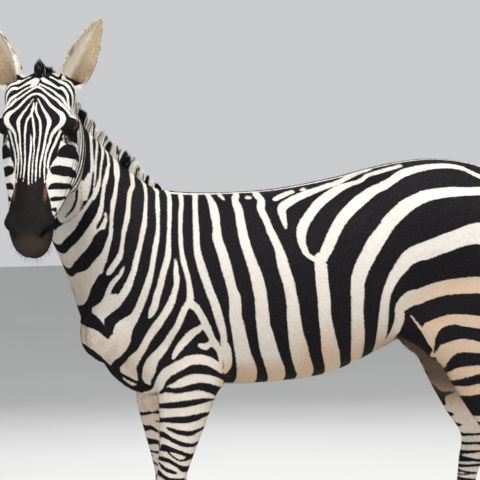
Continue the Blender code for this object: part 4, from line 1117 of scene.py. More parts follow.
def face_chart():
    chart = Chart((-34, -10), (34, 60), 3.0)
    for flip in (1, -1):
        for turn, start in ((40, 20.6), (30.5, 28.6)):
            low, high = sorted((flip * turn * FACE_CM, flip * 170 * FACE_CM))
            chart.ground((low, start), (high, 60), False)
        low, high = sorted((flip * 84 * FACE_CM, flip * 170 * FACE_CM))
        chart.ground((low, -10), (high, 60), False)
        for run in WHITE_FACE:
            chart.draw(run, False, FACE_CM * flip)
        for run in BLACK_CHEEK:
            chart.draw(run, True, FACE_CM * flip)
        chart.draw((88, 6, 0.5, 91, 16, 0.6, 88, 25, 0.4), True, FACE_CM * flip)
        for step, angle in enumerate(range(99, 165, 12)):
            wide = (0.8, 1.2, 1.5, 1.3, 1.6, 1.4)[step]
            run = (angle - 3, 2, wide * 0.6, angle + 2, 10, wide, angle, 20, wide, angle - 7, 28, wide * 0.8)
            chart.draw(run + (angle - 20, 36, 0.4), True, FACE_CM * flip)
    for run in WHITE_MIDFACE:
        chart.draw(run, False, FACE_CM)
    chart.draw((-8, 4.5, 1.2, -5, 3.5, 1.8, -2, 2.5, 1.2), False, FACE_CM)
    return chart


BODY_CHART, FACE_CHART = body_chart(), face_chart()


def swing(points):
    """How far each point of a leg has gone with its stance, to read both legs from one chart."""
    z, y, x = points[:, 2], points[:, 1], points[:, 0]
    shift = np.zeros(len(points))
    for pair, here in (("fore", x < BETWEEN_LEGS), ("hind", x > BETWEEN_LEGS)):
        start, reach = STANCE[pair, RIGHT]
        t = 1 - z / start
        moved_by = reach * np.where(t > 0, 1.15 * t - 0.15 * t * t, 0.0)
        shift = np.where((y > 0) & here, moved_by, shift)
    return shift


def ring_stripes(points):
    """Slanted stripes round the neck, each a little different, as signed centimetres."""
    x, y, z = points.T
    along = (x + 0.67) * -0.36 + (y + 0.02) * -0.42 + (z - 1.21) * 0.83
    ahead = (x + 0.67) * -0.90 + (z - 1.21) * -0.40
    turn = along + 0.30 * ahead + 0.010 * np.sin(16 * ahead + 9 * along) + 0.006 * np.sin(41 * y + 3)
    turn = turn / 0.073
    wave = np.cos(2 * math.pi * turn + 0.6 * np.sin(5.1 * turn))
    return wave * 1.9 + 0.25 + 0.35 * np.sin(2.3 * turn)


def on_face(local):
    """Above 0 on the head, in metres past the line behind the cheek."""
    side, d, along = local.T
    past = (along + 0.0325 + 0.4835 * np.minimum(d, 0.02)) * 0.9
    return np.minimum(past, np.minimum(d + 0.262, 0.16 - abs(side)))


def markings(points):
    """Everything the coat's colour needs at a place: ink, and shares of tan (partly painted shade under the
    belly), muzzle, red, ear and the groin's dark (bare skin and painted shade).
    """
    x, y, z = points.T
    local = moved(points, HEAD_BACK)
    side, d, along = local.T
    far = fade(y, 0.02, 0.12)
    swung = x - swing(points)
    warp_x = far * (0.010 * np.sin(9 * z + 1.1) + 0.007 * np.sin(17 * x + 5 * z))
    warp_z = far * (0.008 * np.sin(11 * x + 0.6) + 0.005 * np.sin(23 * z + 7 * x))
    ink = BODY_CHART.read((swung + warp_x) * 100, (z + warp_z) * 100)
    # the line down the back, with its white borders, and the line under the belly
    back = fade(z, 1.16, 1.22) * (x > -0.42)
    spine = abs(y) * 100
    border = np.where(spine < 4.2, abs(spine - 2.7) - 0.75, 3)
    ink = np.where(back > 0, np.minimum(ink, border), ink)
    ink = np.where(back > 0.5, np.maximum(ink, 1.6 - spine), ink)
    under = (z < 0.80) & (x > -0.55) & (x < 0.36)
    belly = fade(0.80 - z, 0.0, 0.12)
    ink = np.where(under, np.minimum(ink, (spine - 5.5) + 3 * (1 - belly)), ink)
    ink = np.where(under, np.maximum(ink, 1.4 - spine), ink)
    # the insides of the legs are plain, with only the ends of the bars on them
    fore = x < BETWEEN_LEGS
    middle = np.where(fore, 0.128, 0.121)
    inner = fade(abs(y), middle - 0.004, middle - 0.024) * (abs(x) > 0.24)
    inner = inner * np.where(fore, fade(z, 0.70, 0.65), fade(z, 0.84, 0.78))
    thin = 0.06 + 0.75 * fade(z, 0.47, 0.53) + 1.40 * fade(z, 0.56, 0.61)
    ink = ink - inner * np.where(fore, np.where(z > 0.60, 2.2, 0.26), thin)
    # the neck's far side and its nape carry slanted rings that run into the near side's stripes
    rings = ring_stripes(points)
    bend_x = (-0.83, -0.80, -0.756, -0.697, -0.625, -0.50)
    bend_y = (-0.21, -0.15, -0.09, -0.048, -0.018, 0.0)
    middle_y = np.interp(x, bend_x, bend_y)
    turned = fade(y - middle_y, -0.020, 0.050) * fade(x, -0.585, -0.655) * fade(z, 0.98, 1.08)
    turned = np.maximum(turned, fade(x, -0.805, -0.835) * fade(z, 1.20, 1.30))
    ink = ink * (1 - turned) + rings * turned
    head = on_face(local)
    theta = np.degrees(np.arctan2(-side, d + FACE_AXIS))
    face = FACE_CHART.read(theta * FACE_CM, along * 100)
    ink = np.where(head > 0, face, ink)
    # the muzzle's dark skin, and the reddish hair over it
    turn = abs(theta)
    edge = 34.5 - 1.2 * np.exp(-(((turn - 19) / 8) ** 2)) + 0.14 * np.maximum(turn - 27, 0) ** 1.25
    edge = np.minimum(edge, 41.5)
    muzzle = fade(along * 100 - edge, -0.6, 1.2) * (head > 0)
    red = np.exp(-(((turn - 29) / 4.5) ** 2) - ((along * 100 - 36.5) / 3.2) ** 2)
    red = np.maximum(red, 0.32 * np.exp(-(((along * 100 - edge - 0.6) / 0.9) ** 2)) * fade(turn, 34, 28))
    red = red * (head > 0)
    # the groin's dark grey-brown between the hind legs: part bare skin, part painted shade where the thighs
    # shade it
    groin_skin_and_shade = fade(abs(y), 0.150, 0.105) * (x > 0.20) * fade(z, 0.56, 0.68) * fade(z, 0.90, 0.82)
    groin_skin_and_shade = groin_skin_and_shade * fade(x, 0.24, 0.30)
    lips = fade(along - 0.35 * d, 0.475, 0.560) * (head > 0)
    from_eye = np.hypot((d - EYE_D) * 0.9, (along - EYE_S - 0.014) * 1.15)
    patch = fade(np.hypot((abs(side) - PATCH_SIDE) * 0.3, from_eye), 0.030, 0.022) * (head > 0)
    ear_here = ear_share(points)
    tan = 0.04 + 0.14 * fade(z, 1.15, 0.90)
    for share in (
        fade(z, 0.96, 0.74) * 0.80 * fade(x, -0.16, -0.02) * fade(z, 0.48, 0.62) * (x < 0.66),
        # the belly's underside: tan hair, deepened as painted shade where the belly turns under
        0.80 * fade(z, 0.81, 0.72) * fade(z, 0.60, 0.68) * fade(x, -0.34, -0.28),
        0.85 * np.exp(-(((x - 0.36) / 0.13) ** 2) - ((z - 0.88) / 0.11) ** 2),
        0.75 * fade(x, 0.26, 0.36) * fade(z, 1.10, 0.96) * fade(z, 0.60, 0.70),
        0.42 * fade(x, -0.46, -0.54) * fade(z, 0.92, 0.82),
        0.34 * np.exp(-(((x + 0.55) / 0.05) ** 2)) * fade(z, 1.05, 1.15),
        0.34 * fade(x, -0.62, -0.68) * fade(z, 1.16, 1.06),
        inner * (0.30 + 0.30 * fade(z, 0.50, 0.62)),
    ):
        tan = np.maximum(tan, share)
    tan = np.where(head > 0, 0.02 + 0.12 * fade(turn, 110, 140), tan)
    return {
        "ink": ink,
        "tan": tan,
        "muzzle": np.maximum(muzzle, patch * 0.92),
        "red": red,
        "groin_skin_and_shade": groin_skin_and_shade,
        "lips": lips,
        "ear": ear_here,
        "dust": fade(z, 0.30, 0.02) * 0.6,
    }


def ear_marks(points):
    """On the ears: how far inside the cup (1), how near the rim, and how far up."""
    local = moved(points, HEAD_BACK)
    inside, rim, up, back = np.zeros((4, len(points)))
    rows = np.array(spline(EAR_KEYS, 5))
    for side in (LEFT, RIGHT):
        root, run, width, face = (np.array(v) for v in ear_axes(side))
        out = local - root
        along = out @ run
        near = (ear_share(points) > 0) & (np.sign(local[:, 0]) == side)
        half = np.interp(along, rows[:, 0], rows[:, 1])
        arc = np.radians(np.interp(along, rows[:, 0], rows[:, 2]))
        radius = half / np.sin(np.minimum(arc, math.pi / 2))
        a, f = out @ width, out @ face - radius * 0.5
        reach = np.hypot(a, f)
        towards = -side * (out[:, 0] - along * run[0]) / np.maximum(half, 0.004)
        turned = fade(towards, -0.05, 0.30) * (0.95 - 0.5 * fade(along, 0.14, 0.19))
        cup = fade(reach - radius, -0.0018, -0.0036) * (1 - turned)
        inside = np.where(near, cup, inside)
        angle = abs(np.arctan2(a, -f))
        edge = np.minimum((arc - angle) * radius, (EAR_LENGTH - along) * 0.8)
        spot = 1.4 * np.exp(-(((along - 0.090) / 0.016) ** 2) - ((towards - 0.62) / 0.16) ** 2)
        rim = np.where(near, np.maximum(fade(edge, 0.010, 0.0), spot), rim)
        up = np.where(near, np.clip(along / EAR_LENGTH, 0, 1), up)
        round_off = np.sqrt(np.clip(1 - (angle / 1.25) ** 2, 0, 1))
        wave = 0.004 * np.sin(7 * angle * np.sign(a) + 1)
        bars = fade(abs(along - 0.132 + wave) - 0.031 * round_off, 0.0, -0.002)
        bars = np.maximum(bars, fade(abs(along - 0.040 - wave) - 0.013 * round_off, 0.0, -0.002))
        back = np.where(near & (reach - radius > -0.0024), bars * (round_off > 0.1), back)
    return inside, rim, up, back


def keep_marks(mesh, marks):
    for name, values in marks.items():
        if name not in mesh.attributes:
            mesh.attributes.new(name, "FLOAT", "POINT")
        mesh.attributes[name].data.foreach_set("value", np.asarray(values, dtype=np.float32))


def all_marks(points):
    marks = markings(points)
    marks["cup"], marks["rim"], marks["up"], back = ear_marks(points)
    marks["ear"] = marks["ear"] * (1 - back)
    marks["ink"] = np.where(back > 0.5, 2.0, marks["ink"])
    return marks


# ------------------------------------------------------------------ finishes

BLACK_HAIR = (0.0052, 0.0050, 0.0072)
WHITE_HAIR = (0.80, 0.768, 0.722)
TAN_HAIR = (0.60, 0.375, 0.205)


def coat_finish(name, hairs):
    """The striped coat. The same colours serve the skin under it and the tufts on it."""
    p = Paint(name)
    ragged = p.noise(150.0, detail=2.0) - 0.5
    fine = p.noise(520.0, (1.0, 1.0, 0.45), detail=1.0) - 0.5
    ink = p.attribute("ink") + ragged * 0.16 + fine * 0.12
    black = ink.between(-0.07, 0.07)
    patchy = p.noise(5.0, detail=3.0)
    grain = p.noise(260.0, (1.0, 1.0, 0.35), detail=2.0, rough=0.7)
    # the tan share: tan hair, with painted shade on the belly's underside
    white = p.mix((p.attribute("tan") * (patchy * 0.8 + 0.6)).clamped(), WHITE_HAIR, TAN_HAIR)
    white = p.mix(grain.between(0.30, 0.75) * 0.30, white, (0.50, 0.45, 0.39))
    white = p.mix(patchy.between(0.45, 0.75) * 0.28, white, (0.74, 0.67, 0.57))
    white = p.mix(p.attribute("dust") * 0.55, white, (0.42, 0.34, 0.26))
    dark = p.mix(grain.between(0.35, 0.8) * 0.5, BLACK_HAIR, (0.0090, 0.0085, 0.0105))
    dark = p.mix(p.attribute("dust") * 0.5, dark, (0.075, 0.060, 0.048))
    colour = p.mix(black, white, dark)
    # ears: cream outside with a dark band, brown-edged, tan and grey hair inside
    cup, rim, up = p.attribute("cup"), p.attribute("rim"), p.attribute("up")
    outside = p.mix(patchy.between(0.4, 0.7), (0.78, 0.72, 0.63), (0.70, 0.62, 0.50))
    inside = p.mix((up + patchy * 0.3 - 0.15).between(0.05, 0.60), (0.30, 0.195, 0.115), (0.52, 0.41, 0.27))
    shell = p.mix(cup, outside, inside)
    brown = (rim + ragged * 0.9).between(0.60, 0.98) * (ragged * 1.2 + 0.45)
    shell = p.mix(brown, shell, (0.10, 0.072, 0.055))
    colour = p.mix(p.attribute("ear").between(0.30, 0.60), colour, shell)
    # the muzzle's bare dark skin
    nose = p.mix(grain.between(0.3, 0.8) * 0.6, (0.0052, 0.0044, 0.0042), (0.0150, 0.0120, 0.0110))
    muzzle = (p.attribute("muzzle") + fine * 0.5).between(0.30, 0.70)
    nose = p.mix(p.attribute("lips") * (patchy * 0.5 + 0.5), nose, (0.050, 0.035, 0.030))
    # the groin's dark grey-brown, part bare skin and part painted shade between the thighs
    colour = p.mix(p.attribute("groin_skin_and_shade") * (patchy * 0.4 + 0.7), colour, (0.110, 0.074, 0.050))
    colour = p.mix(muzzle, colour, nose)
    red = (p.attribute("red") + ragged * 0.3).between(0.20, 0.9) * 0.80
    colour = p.mix(red, colour, (0.170, 0.072, 0.045))
    if hairs:
        colour = p.mix(p.attribute("shade") * 0.5, colour, (0.06, 0.05, 0.045))
        return p.finish(Base_Color=colour, Roughness=0.62 - black * 0.12, Specular_IOR_Level=0.05)
    pelt = p.noise(330.0, (1.0, 1.0, 0.30), detail=3.0, rough=0.65)
    pores = p.noise(420.0, detail=2.0)
    height = pelt * (1.0 - muzzle) + pores * muzzle * 0.6 + p.noise(38.0, detail=2.0) * 0.6
    rough = 0.66 - black * 0.10 - muzzle * 0.16 + grain * 0.08
    return p.finish(
        Base_Color=colour, Roughness=rough, Normal=p.bump(height, 0.55, 0.0016), Specular_IOR_Level=0.05
    )


def eye_finish():
    p = Paint("eye_wet")
    clouds = p.noise(90.0, detail=3.0)
    colour = p.mix(clouds, (0.006, 0.004, 0.003), (0.022, 0.012, 0.008))
    return p.finish(
        Base_Color=colour, Roughness=0.10, Coat_Weight=0.35, Coat_Roughness=0.03, Specular_IOR_Level=0.25
    )


def hoof_finish():
    p = Paint("hoof_horn")
    rings = p.node("ShaderNodeTexWave", {"bands_direction": "Z"}, p.place(), 38.0, 2.5, 3.0, 1.5)
    streaks = p.noise(70.0, (1.0, 1.0, 0.12), detail=3.0)
    soil = p.noise(26.0, detail=4.0)
    low = p.node("ShaderNodeSeparateXYZ", {}, p.place(), out=2)
    colour = p.mix(streaks, (0.030, 0.025, 0.022), (0.120, 0.100, 0.084))
    colour = p.mix(rings * 0.30, colour, (0.16, 0.135, 0.11))
    worn = low.between(0.028, 0.0) * soil.between(0.35, 0.7)
    colour = p.mix(worn * 0.6, colour, (0.30, 0.245, 0.19))
    height = rings * 0.5 + streaks * 0.5
    return p.finish(
        Base_Color=colour, Roughness=0.42 + soil * 0.30, Normal=p.bump(height, 0.5, 0.0016)
    )


def floor_finish():
    p = Paint("floor_pale")
    cloud = p.noise(1.3, detail=3.0)
    return p.finish(Base_Color=p.mix(cloud, (0.50, 0.495, 0.485), (0.56, 0.555, 0.545)), Roughness=0.8)


def dress(obj, material):
    obj.data.materials.clear()
    obj.data.materials.append(material)


# ------------------------------------------------------------------ hair in tufts and locks


def hair_mesh(name, points, faces, marks, places, finish):
    """Points (n, 3), faces as rows of four corners (the last -1 for a triangle), marks and a bake place
    for each point. The places are spread over the OFBake map, each tuft in a patch 0.003 across."""
    mesh = bpy.data.meshes.new(name)
    total = np.where(faces[:, 3] < 0, 3, 4)
    loops = faces.ravel()
    loops = loops[loops >= 0]
    mesh.vertices.add(len(points))
    mesh.vertices.foreach_set("co", np.asarray(points, dtype=np.float32).ravel())
    mesh.loops.add(len(loops))
    mesh.loops.foreach_set("vertex_index", loops.astype(np.int32))
    mesh.polygons.add(len(faces))
    mesh.polygons.foreach_set("loop_start", np.concatenate([[0], np.cumsum(total)[:-1]]).astype(np.int32))
    mesh.update(calc_edges=True)
    keep_marks(mesh, marks)
    layer = mesh.uv_layers.new(name="OFBake")
    layer.data.foreach_set("uv", np.asarray(places, dtype=np.float32)[loops].ravel())
    mesh.shade_smooth()
    made = new_object(name, mesh)
    dress(made, finish)
    COAT.append(made)


def unit(v):
    return v / np.maximum(np.linalg.norm(v, axis=-1, keepdims=True), 1e-9)


def spread(value, low=None, high=None):
    """Numbers spread over the bake map, from 0.02 to 0.98."""
    low = value.min() if low is None else low
    high = value.max() if high is None else high
    return 0.02 + 0.96 * np.clip((value - low) / (high - low), 0, 1)


class Surface:
    """The skin's faces, to set hair on evenly."""

    def __init__(self, mesh):
        self.spots = spots(mesh)
        self.normals = normals(mesh)
        flat = np.empty(len(mesh.polygons) * 3, dtype=np.int32)
        mesh.polygons.foreach_get("vertices", flat)
        self.tris = flat.reshape(-1, 3)
        a, b, c = (self.spots[self.tris[:, k]] for k in range(3))
        self.area = np.linalg.norm(np.cross(b - a, c - a), axis=1) / 2
        self.middle = (a + b + c) / 3

    def set_out(self, weight, count):
        """Evenly spaced roots on the faces, each with its normal."""
        total = np.cumsum(self.area * weight)
        pick = (np.arange(count) + rng.random(count)) / count * total[-1]
        face = np.clip(np.searchsorted(total, pick), 0, len(total) - 1)
        a, b = rng.random(count), rng.random(count)
        over = a + b > 1
        a, b = np.where(over, 1 - a, a), np.where(over, 1 - b, b)
        share = np.stack([1 - a - b, a, b], axis=1)[:, :, None]
        corner = self.tris[face]
        return (self.spots[corner] * share).sum(1), unit((self.normals[corner] * share).sum(1))


def lie(points, out):
    """Which way the hair lies at each place: back along the trunk, down the neck, legs and face."""
    x, y, z = points.T
    local = moved(points, HEAD_BACK)
    turn = np.array(HEAD.to_3x3())
    head = fade(on_face(local), -0.03, 0.03)[:, None]
    neck = fade(-x - 0.55 + (z - 1.20) * 0.35, 0.0, 0.30)[:, None]
    leg = fade(z, 0.86, 0.66)[:, None]
    way = np.stack([np.full(len(x), 1.0), np.zeros(len(x)), -0.22 - 0.5 * fade(x, 0.45, 0.70)], axis=1)
    way = way * (1 - neck) + np.array([0.62, 0.30, -0.72]) * neck
    way = way * (1 - leg) + np.array([0.10, 0.0, -1.0]) * leg
    down = turn @ np.array([0.0, 0.0, 1.0])
    outward = (np.sign(local[:, 0]) * fade(abs(local[:, 0]), 0.02, 0.08))[:, None]
    outward = outward * (turn @ np.array([0.35, 0, 0]))
    way = way * (1 - head) + (down + outward) * head
    for side in (LEFT, RIGHT):
        _, run, _, _ = ear_axes(side)
        here = ((ear_share(points) > 0.05) & (np.sign(local[:, 0]) == side))[:, None]
        way = np.where(here, turn @ np.array(run), way)
    swirl = 0.30 * np.sin(23 * x + 9 * z + 2) + 0.22 * np.sin(41 * z - 17 * x + 11 * y)
    across = np.cross(out, way)
    way = way + across * (swirl * 0.45 + rng.normal(0, 0.13, len(x)))[:, None]
    way = way - out * (way * out).sum(1)[:, None]
    return unit(way)


def tufts(name, surface, weight, count, length, width, lift, unwrap, finish):
    """Short flat tufts, each a ridged kite of two triangles with its root under the skin."""
    root, out = surface.set_out(weight, count)
    way = lie(root, out)
    side = unit(np.cross(out, way))
    vary = rng.uniform(0.75, 1.25, count)
    long = length(root) * vary
    wide = width * rng.uniform(0.8, 1.2, count)
    rise = lift(root) * rng.uniform(0.45, 1.0, count)
    start = root - way * (long * 0.25)[:, None]
    middle = start + way * (long * 0.42)[:, None] + out * (rise * 0.62)[:, None]
    tip = start + way * long[:, None] + out * rise[:, None]
    base = start - out * 0.0006
    half = side * (wide * 0.5)[:, None]
    low = out * (wide * 0.10)[:, None]
    points = np.stack([base, middle - half - low, tip, middle + half - low], axis=1)
    at_base, at_tip = all_marks(start), all_marks(start + way * (long * 0.70)[:, None])
    at_middle = all_marks(start + way * (long * 0.40)[:, None])
    marks = {
        key: np.stack([at_base[key], at_middle[key], at_tip[key], at_middle[key]], axis=1).ravel()
        for key in at_base
    }
    marks["ink"] = marks["ink"] + np.repeat(rng.normal(0, 0.05, count), 4)
    dark = rng.random(count) ** 2 * 0.45
    marks["shade"] = np.stack([np.full(count, 0.65), dark, dark * 0.4, dark], axis=1).ravel()
    u, v = unwrap(root)
    patch = np.array([[0, -0.0013], [-0.0013, 0], [0, 0.0013], [0.0013, 0]])
    places = (np.stack([u, v], axis=1)[:, None, :] + patch[None]).reshape(-1, 2)
    first = np.arange(count)[:, None] * 4
    none = np.full((count, 1), -1)
    faces = np.vstack([np.hstack([first + corners, none]) for corners in ([0, 2, 1], [0, 3, 2])])
    hair_mesh(name, points.reshape(-1, 3), faces, marks, places, finish)


def strands(name, paths, widths, sides, marks, places, finish):
    """Long locks. Paths (n, k, 3), half widths (n, k - 1), the way each is wide (n, 3) and, for each lock,
    its marks (n,) or (n, k) and its bake place (n, 2)."""
    n, k = paths.shape[:2]
    sides = sides[:, None, :] if sides.ndim == 2 else sides
    span = sides * widths[:, :, None]
    left, right = paths[:, :-1] - span, paths[:, :-1] + span
    points = np.concatenate([np.stack([left, right], axis=2).reshape(n, -1, 3), paths[:, -1:]], axis=1)
    per = points.shape[1]
    first = np.arange(n)[:, None] * per
    faces = []
    for step in range(k - 2):
        a = 2 * step
        faces.append(first + np.array([[a, a + 1, a + 3, a + 2]]))
    a = 2 * (k - 2)
    faces.append(np.concatenate([first + np.array([[a, a + 1, a + 2]]), np.full((n, 1), -1)], axis=1))
    spread_marks = {}
    for key, value in marks.items():
        value = np.asarray(value, dtype=float)
        if value.ndim == 1:
            value = np.repeat(value[:, None], k, axis=1)
        rows = np.concatenate([np.repeat(value[:, :-1], 2, axis=1), value[:, -1:]], axis=1)
        spread_marks[key] = rows.ravel()
    reach = np.linspace(-0.0014, 0.0014, per)
    patch = np.stack([np.where(np.arange(per) % 2, 0.0012, -0.0012), reach], axis=1)
    uv = (places[:, None, :] + patch[None]).reshape(-1, 2)
    hair_mesh(name, points.reshape(-1, 3), np.concatenate(faces), spread_marks, uv, finish)


BARE = dict(ear=0, cup=0, rim=0, up=0, muzzle=0, red=0)


def plain_marks(points, **given):
    """The skin's marks at places, with some of them given outright."""
    marks = all_marks(points)
    for key, value in given.items():
        marks[key] = np.full(len(points), float(value)) if np.isscalar(value) else value
    marks.setdefault("shade", rng.random(len(points)) ** 2 * 0.5)
    return marks


def crest_line():
    """The top of the neck from the withers to the poll, with the way up at each row."""
    rows = spline([[*top, *low] for top, low, *_ in torso_keys()], 4)[38:63]
    line = np.array(rows)
    return line[:, :3], unit(line[:, :3] - line[:, 3:])


def make_mane(finish):
    """A stiff upright brush in clumps, black and white in step with the neck."""
    top, up = crest_line()
    count = 7200
    t = np.sort(rng.random(count))
    clump = np.round(t * 76) / 76
    t = np.clip(t * 0.45 + clump * 0.55 + rng.normal(0, 0.0012, count), 0, 1)
    at = t * (len(top) - 1)
    i = np.clip(at.astype(int), 0, len(top) - 2)
    s = (at - i)[:, None]
    place = top[i] * (1 - s) + top[i + 1] * s
    rise = unit(up[i] * (1 - s) + up[i + 1] * s)
    along = unit(top[i + 1] - top[i])
    across = unit(np.cross(rise, along))
    off = rng.normal(0, 0.36, count).clip(-1, 1)
    tall = 0.045 * np.minimum(1.0, np.minimum(0.10 + 4.0 * t, 0.26 + 5.0 * (1.04 - t)))
    group = np.round(clump * 76).astype(int)
    nod, stature = rng.normal(-0.05, 0.20, 78), rng.uniform(0.72, 1.10, 78)
    tall = tall * (1 - 0.25 * abs(off)) * rng.uniform(0.74, 1.04, count) * stature[group]
    base = place + across * (off * 0.0125)[:, None] - rise * 0.014
    lean = across * (off * 0.16 + rng.normal(0, 0.05, count))[:, None]
    gather = (clump - t) * 0.80 * 0.55 / 0.040
    lean = lean + along * (nod[group] + gather + rng.normal(0, 0.07, count))[:, None]
    steps = np.array([0.0, 0.35, 0.72, 1.0])
    reach = (tall + 0.014)[:, None, None] * steps[None, :, None]
    paths = base[:, None] + (rise[:, None] + lean[:, None] * steps[None, :, None]) * reach
    widths = rng.uniform(0.0010, 0.0018, count)[:, None] * np.array([1.0, 0.95, 0.6])[None]
    facing = rng.normal(0, 0.55, count)[:, None]
    sides = unit(along * np.cos(facing) + across * np.sin(facing))
    root = place + rise * 0.004
    marks = plain_marks(root, shade=rng.random(count) ** 2 * 0.5, tan=0.10, **BARE)
    # the ink is read at the crest, and the tips turn dark
    ink = BODY_CHART.read(root[:, 0] * 100, root[:, 2] * 100) + rng.normal(0, 0.18, count)
    marks["ink"] = ink[:, None] + np.array([0, 0, 0.0, 0.10])[None]
    marks["shade"] = marks["shade"] * (ink > 0)
    places = np.stack([spread(t), 0.5 + 0.30 * off], axis=1)
    strands("mane_hair", paths, widths, sides, marks, places, finish)


def make_forelock(finish):
    """The mane's last tuft: dark, upright and leaning a little over the forehead."""
    count = 1500
    turn = np.array(HEAD.to_3x3().inverted())
    up = turn @ np.array([0, 0, 1.0])
    ahead = turn @ np.array([-math.sin(HEADING), -math.cos(HEADING), 0.0])
    angle = rng.uniform(0, 2 * math.pi, count)
    out = np.sqrt(rng.random(count))
    across = np.array([1.0, 0, 0])
    ring = across[None] * (np.cos(angle) * out)[:, None] + ahead[None] * (np.sin(angle) * out)[:, None]
    start = np.array([0, -0.014, 0.006])
    tall = 0.078 * (1 - 0.30 * out) * rng.uniform(0.62, 1.0, count)
    rows, shape = [], ((0.0, -0.002, 0.011), (0.38, 0.000, 0.016), (0.70, 0.005, 0.019), (1.0, 0.011, 0.017))
    for share, lean, wide in shape:
        rows.append(start + up * (tall * share - 0.020)[:, None] + ahead * lean + ring * wide * 0.9)
    paths = moved(np.stack(rows, axis=1).reshape(-1, 3), HEAD).reshape(count, 4, 3)
    widths = rng.uniform(0.0010, 0.0017, count)[:, None] * np.array([1.0, 1.0, 0.7])[None]
    facing = rng.normal(0, 1, (count, 3))
    root = paths[:, 0]
    marks = plain_marks(root, ink=2.0, tan=0, **BARE)
    marks["ink"] = np.where(rng.random(count) < 0.06, -1.0, 2.0)
    places = np.stack([spread(angle), spread(out)], axis=1)
    strands("forelock_hair", paths, widths, unit(facing), marks, places, finish)


TASSEL_LINE = [(0.748, 0.920), (0.748, 0.840), (0.750, 0.760), (0.750, 0.680), (0.748, 0.600), (0.744, 0.530)]
TASSEL_THICKNESS = [0.023, 0.030, 0.036, 0.036, 0.028, 0.008]


def make_switch(finish):
    """The tail's long dark hair, hung from the lower dock."""
    count, steps = 1700, 9
    line, thick = np.array(TASSEL_LINE), np.array(TASSEL_THICKNESS)
    start = rng.random(count) ** 0.8 * 0.42
    end = np.clip(0.62 + 0.38 * rng.random(count) ** 0.6, 0, 1)
    angle = rng.uniform(0, 2 * math.pi, count)
    out = np.sqrt(rng.random(count)) * 0.92
    shares = start[:, None] + (end - start)[:, None] * np.linspace(0, 1, steps)[None]
    keys = np.linspace(0, 1, len(line))
    x, z = np.interp(shares, keys, line[:, 0]), np.interp(shares, keys, line[:, 1])
    radius = np.interp(shares, keys, thick)
    grow = fade(np.linspace(0, 1, steps), 0.0, 0.25)[None] * 0.45 + 0.55
    wave = 0.0022 * np.sin(shares * 26 + angle[:, None] * 3)
    x = x + np.cos(angle)[:, None] * out[:, None] * radius * grow + wave
    y = np.sin(angle)[:, None] * out[:, None] * radius * grow - wave
    paths = np.stack([x, y, z], axis=2)
    widths = rng.uniform(0.0010, 0.0019, count)[:, None] * np.linspace(1.0, 0.45, steps - 1)[None]
    side = np.stack([-np.sin(angle), np.cos(angle), np.zeros(count)], axis=1)
    side = unit(side + rng.normal(0, 0.3, (count, 3)))
    pale = (start < 0.10) & (rng.random(count) < 0.30)
    marks = plain_marks(paths[:, 0], ink=np.where(pale, -1.0, 2.0), tan=0.2, **BARE)
    marks["dust"] = np.full(count, 0.12)
    places = np.stack([spread(angle), spread(start)], axis=1)
    strands("switch_hair", paths, widths, side, marks, places, finish)


def bristles(name, root, way, length, half, bend, marks, finish, steps=4):
    """Single hairs from their roots along a way, with a bend added towards their tips."""
    share = np.linspace(0, 1, steps)[None, :, None]
    paths = root[:, None] + (way[:, None] + bend[:, None] * share) * length[:, None, None] * share
    taper = np.linspace(1.0, 0.5, steps - 1)[None]
    side = unit(np.cross(way, rng.normal(0, 1, way.shape)))
    places = np.stack([spread(root[:, 0] + root[:, 1]), spread(root[:, 2])], axis=1)
    strands(name, paths, half[:, None] * taper, side, marks, places, finish)


def make_lashes(finish):
    roots, ways = [], []
    for side in (LEFT, RIGHT):
        middle, look, long, high = (np.array(v) for v in eye_axes(side))
        for i in range(46):
            a = math.radians(22 + 136 * i / 45)
            spot = long * (math.cos(a) * EYE_LONG * 0.98) + high * (math.sin(a) * EYE_HIGH * 1.06)
            depth = math.sqrt(max((EYE_RADIUS + 0.0030) ** 2 - spot @ spot, 1e-6))
            p = middle + spot + look * depth
            roots.append(p)
            ways.append(look * 0.80 + high * 0.26 + long * math.cos(a) * 0.45)
    roots, ways = np.array(roots), unit(np.array(ways))
    turn = np.array(HEAD.to_3x3())
    root, way = moved(roots, HEAD), ways @ turn.T
    count = len(root)
    bend = np.tile(turn @ np.array([0, -0.55, 0.1]), (count, 1))
    marks = plain_marks(root, ink=2.0, tan=0, **{**BARE, "muzzle": 1})
    long = rng.uniform(0.009, 0.014, count)
    bristles("eye_lashes", root, way, long, np.full(count, 0.00035), bend, marks, finish, 5)


def make_whiskers(surface, finish):
    local = moved(surface.middle, HEAD_BACK)
    lips = (local[:, 2] > 0.44) & (local[:, 1] < -0.070) & (on_face(local) > 0)
    root, out = surface.set_out(lips * 1.0, 260)
    turn = np.array(HEAD.to_3x3())
    down = turn @ np.array([0.0, -0.6, 0.8])
    way = unit(out + down * 0.5 + rng.normal(0, 0.18, root.shape))
    count = len(root)
    marks = plain_marks(root, ink=2.0, tan=0, **BARE)
    bend = np.tile(np.array([0.0, 0.0, -0.35]), (count, 1))
    long = rng.uniform(0.006, 0.022, count)
    bristles("whiskers", root - out * 0.001, way, long, np.full(count, 0.00028), bend, marks, finish, 5)


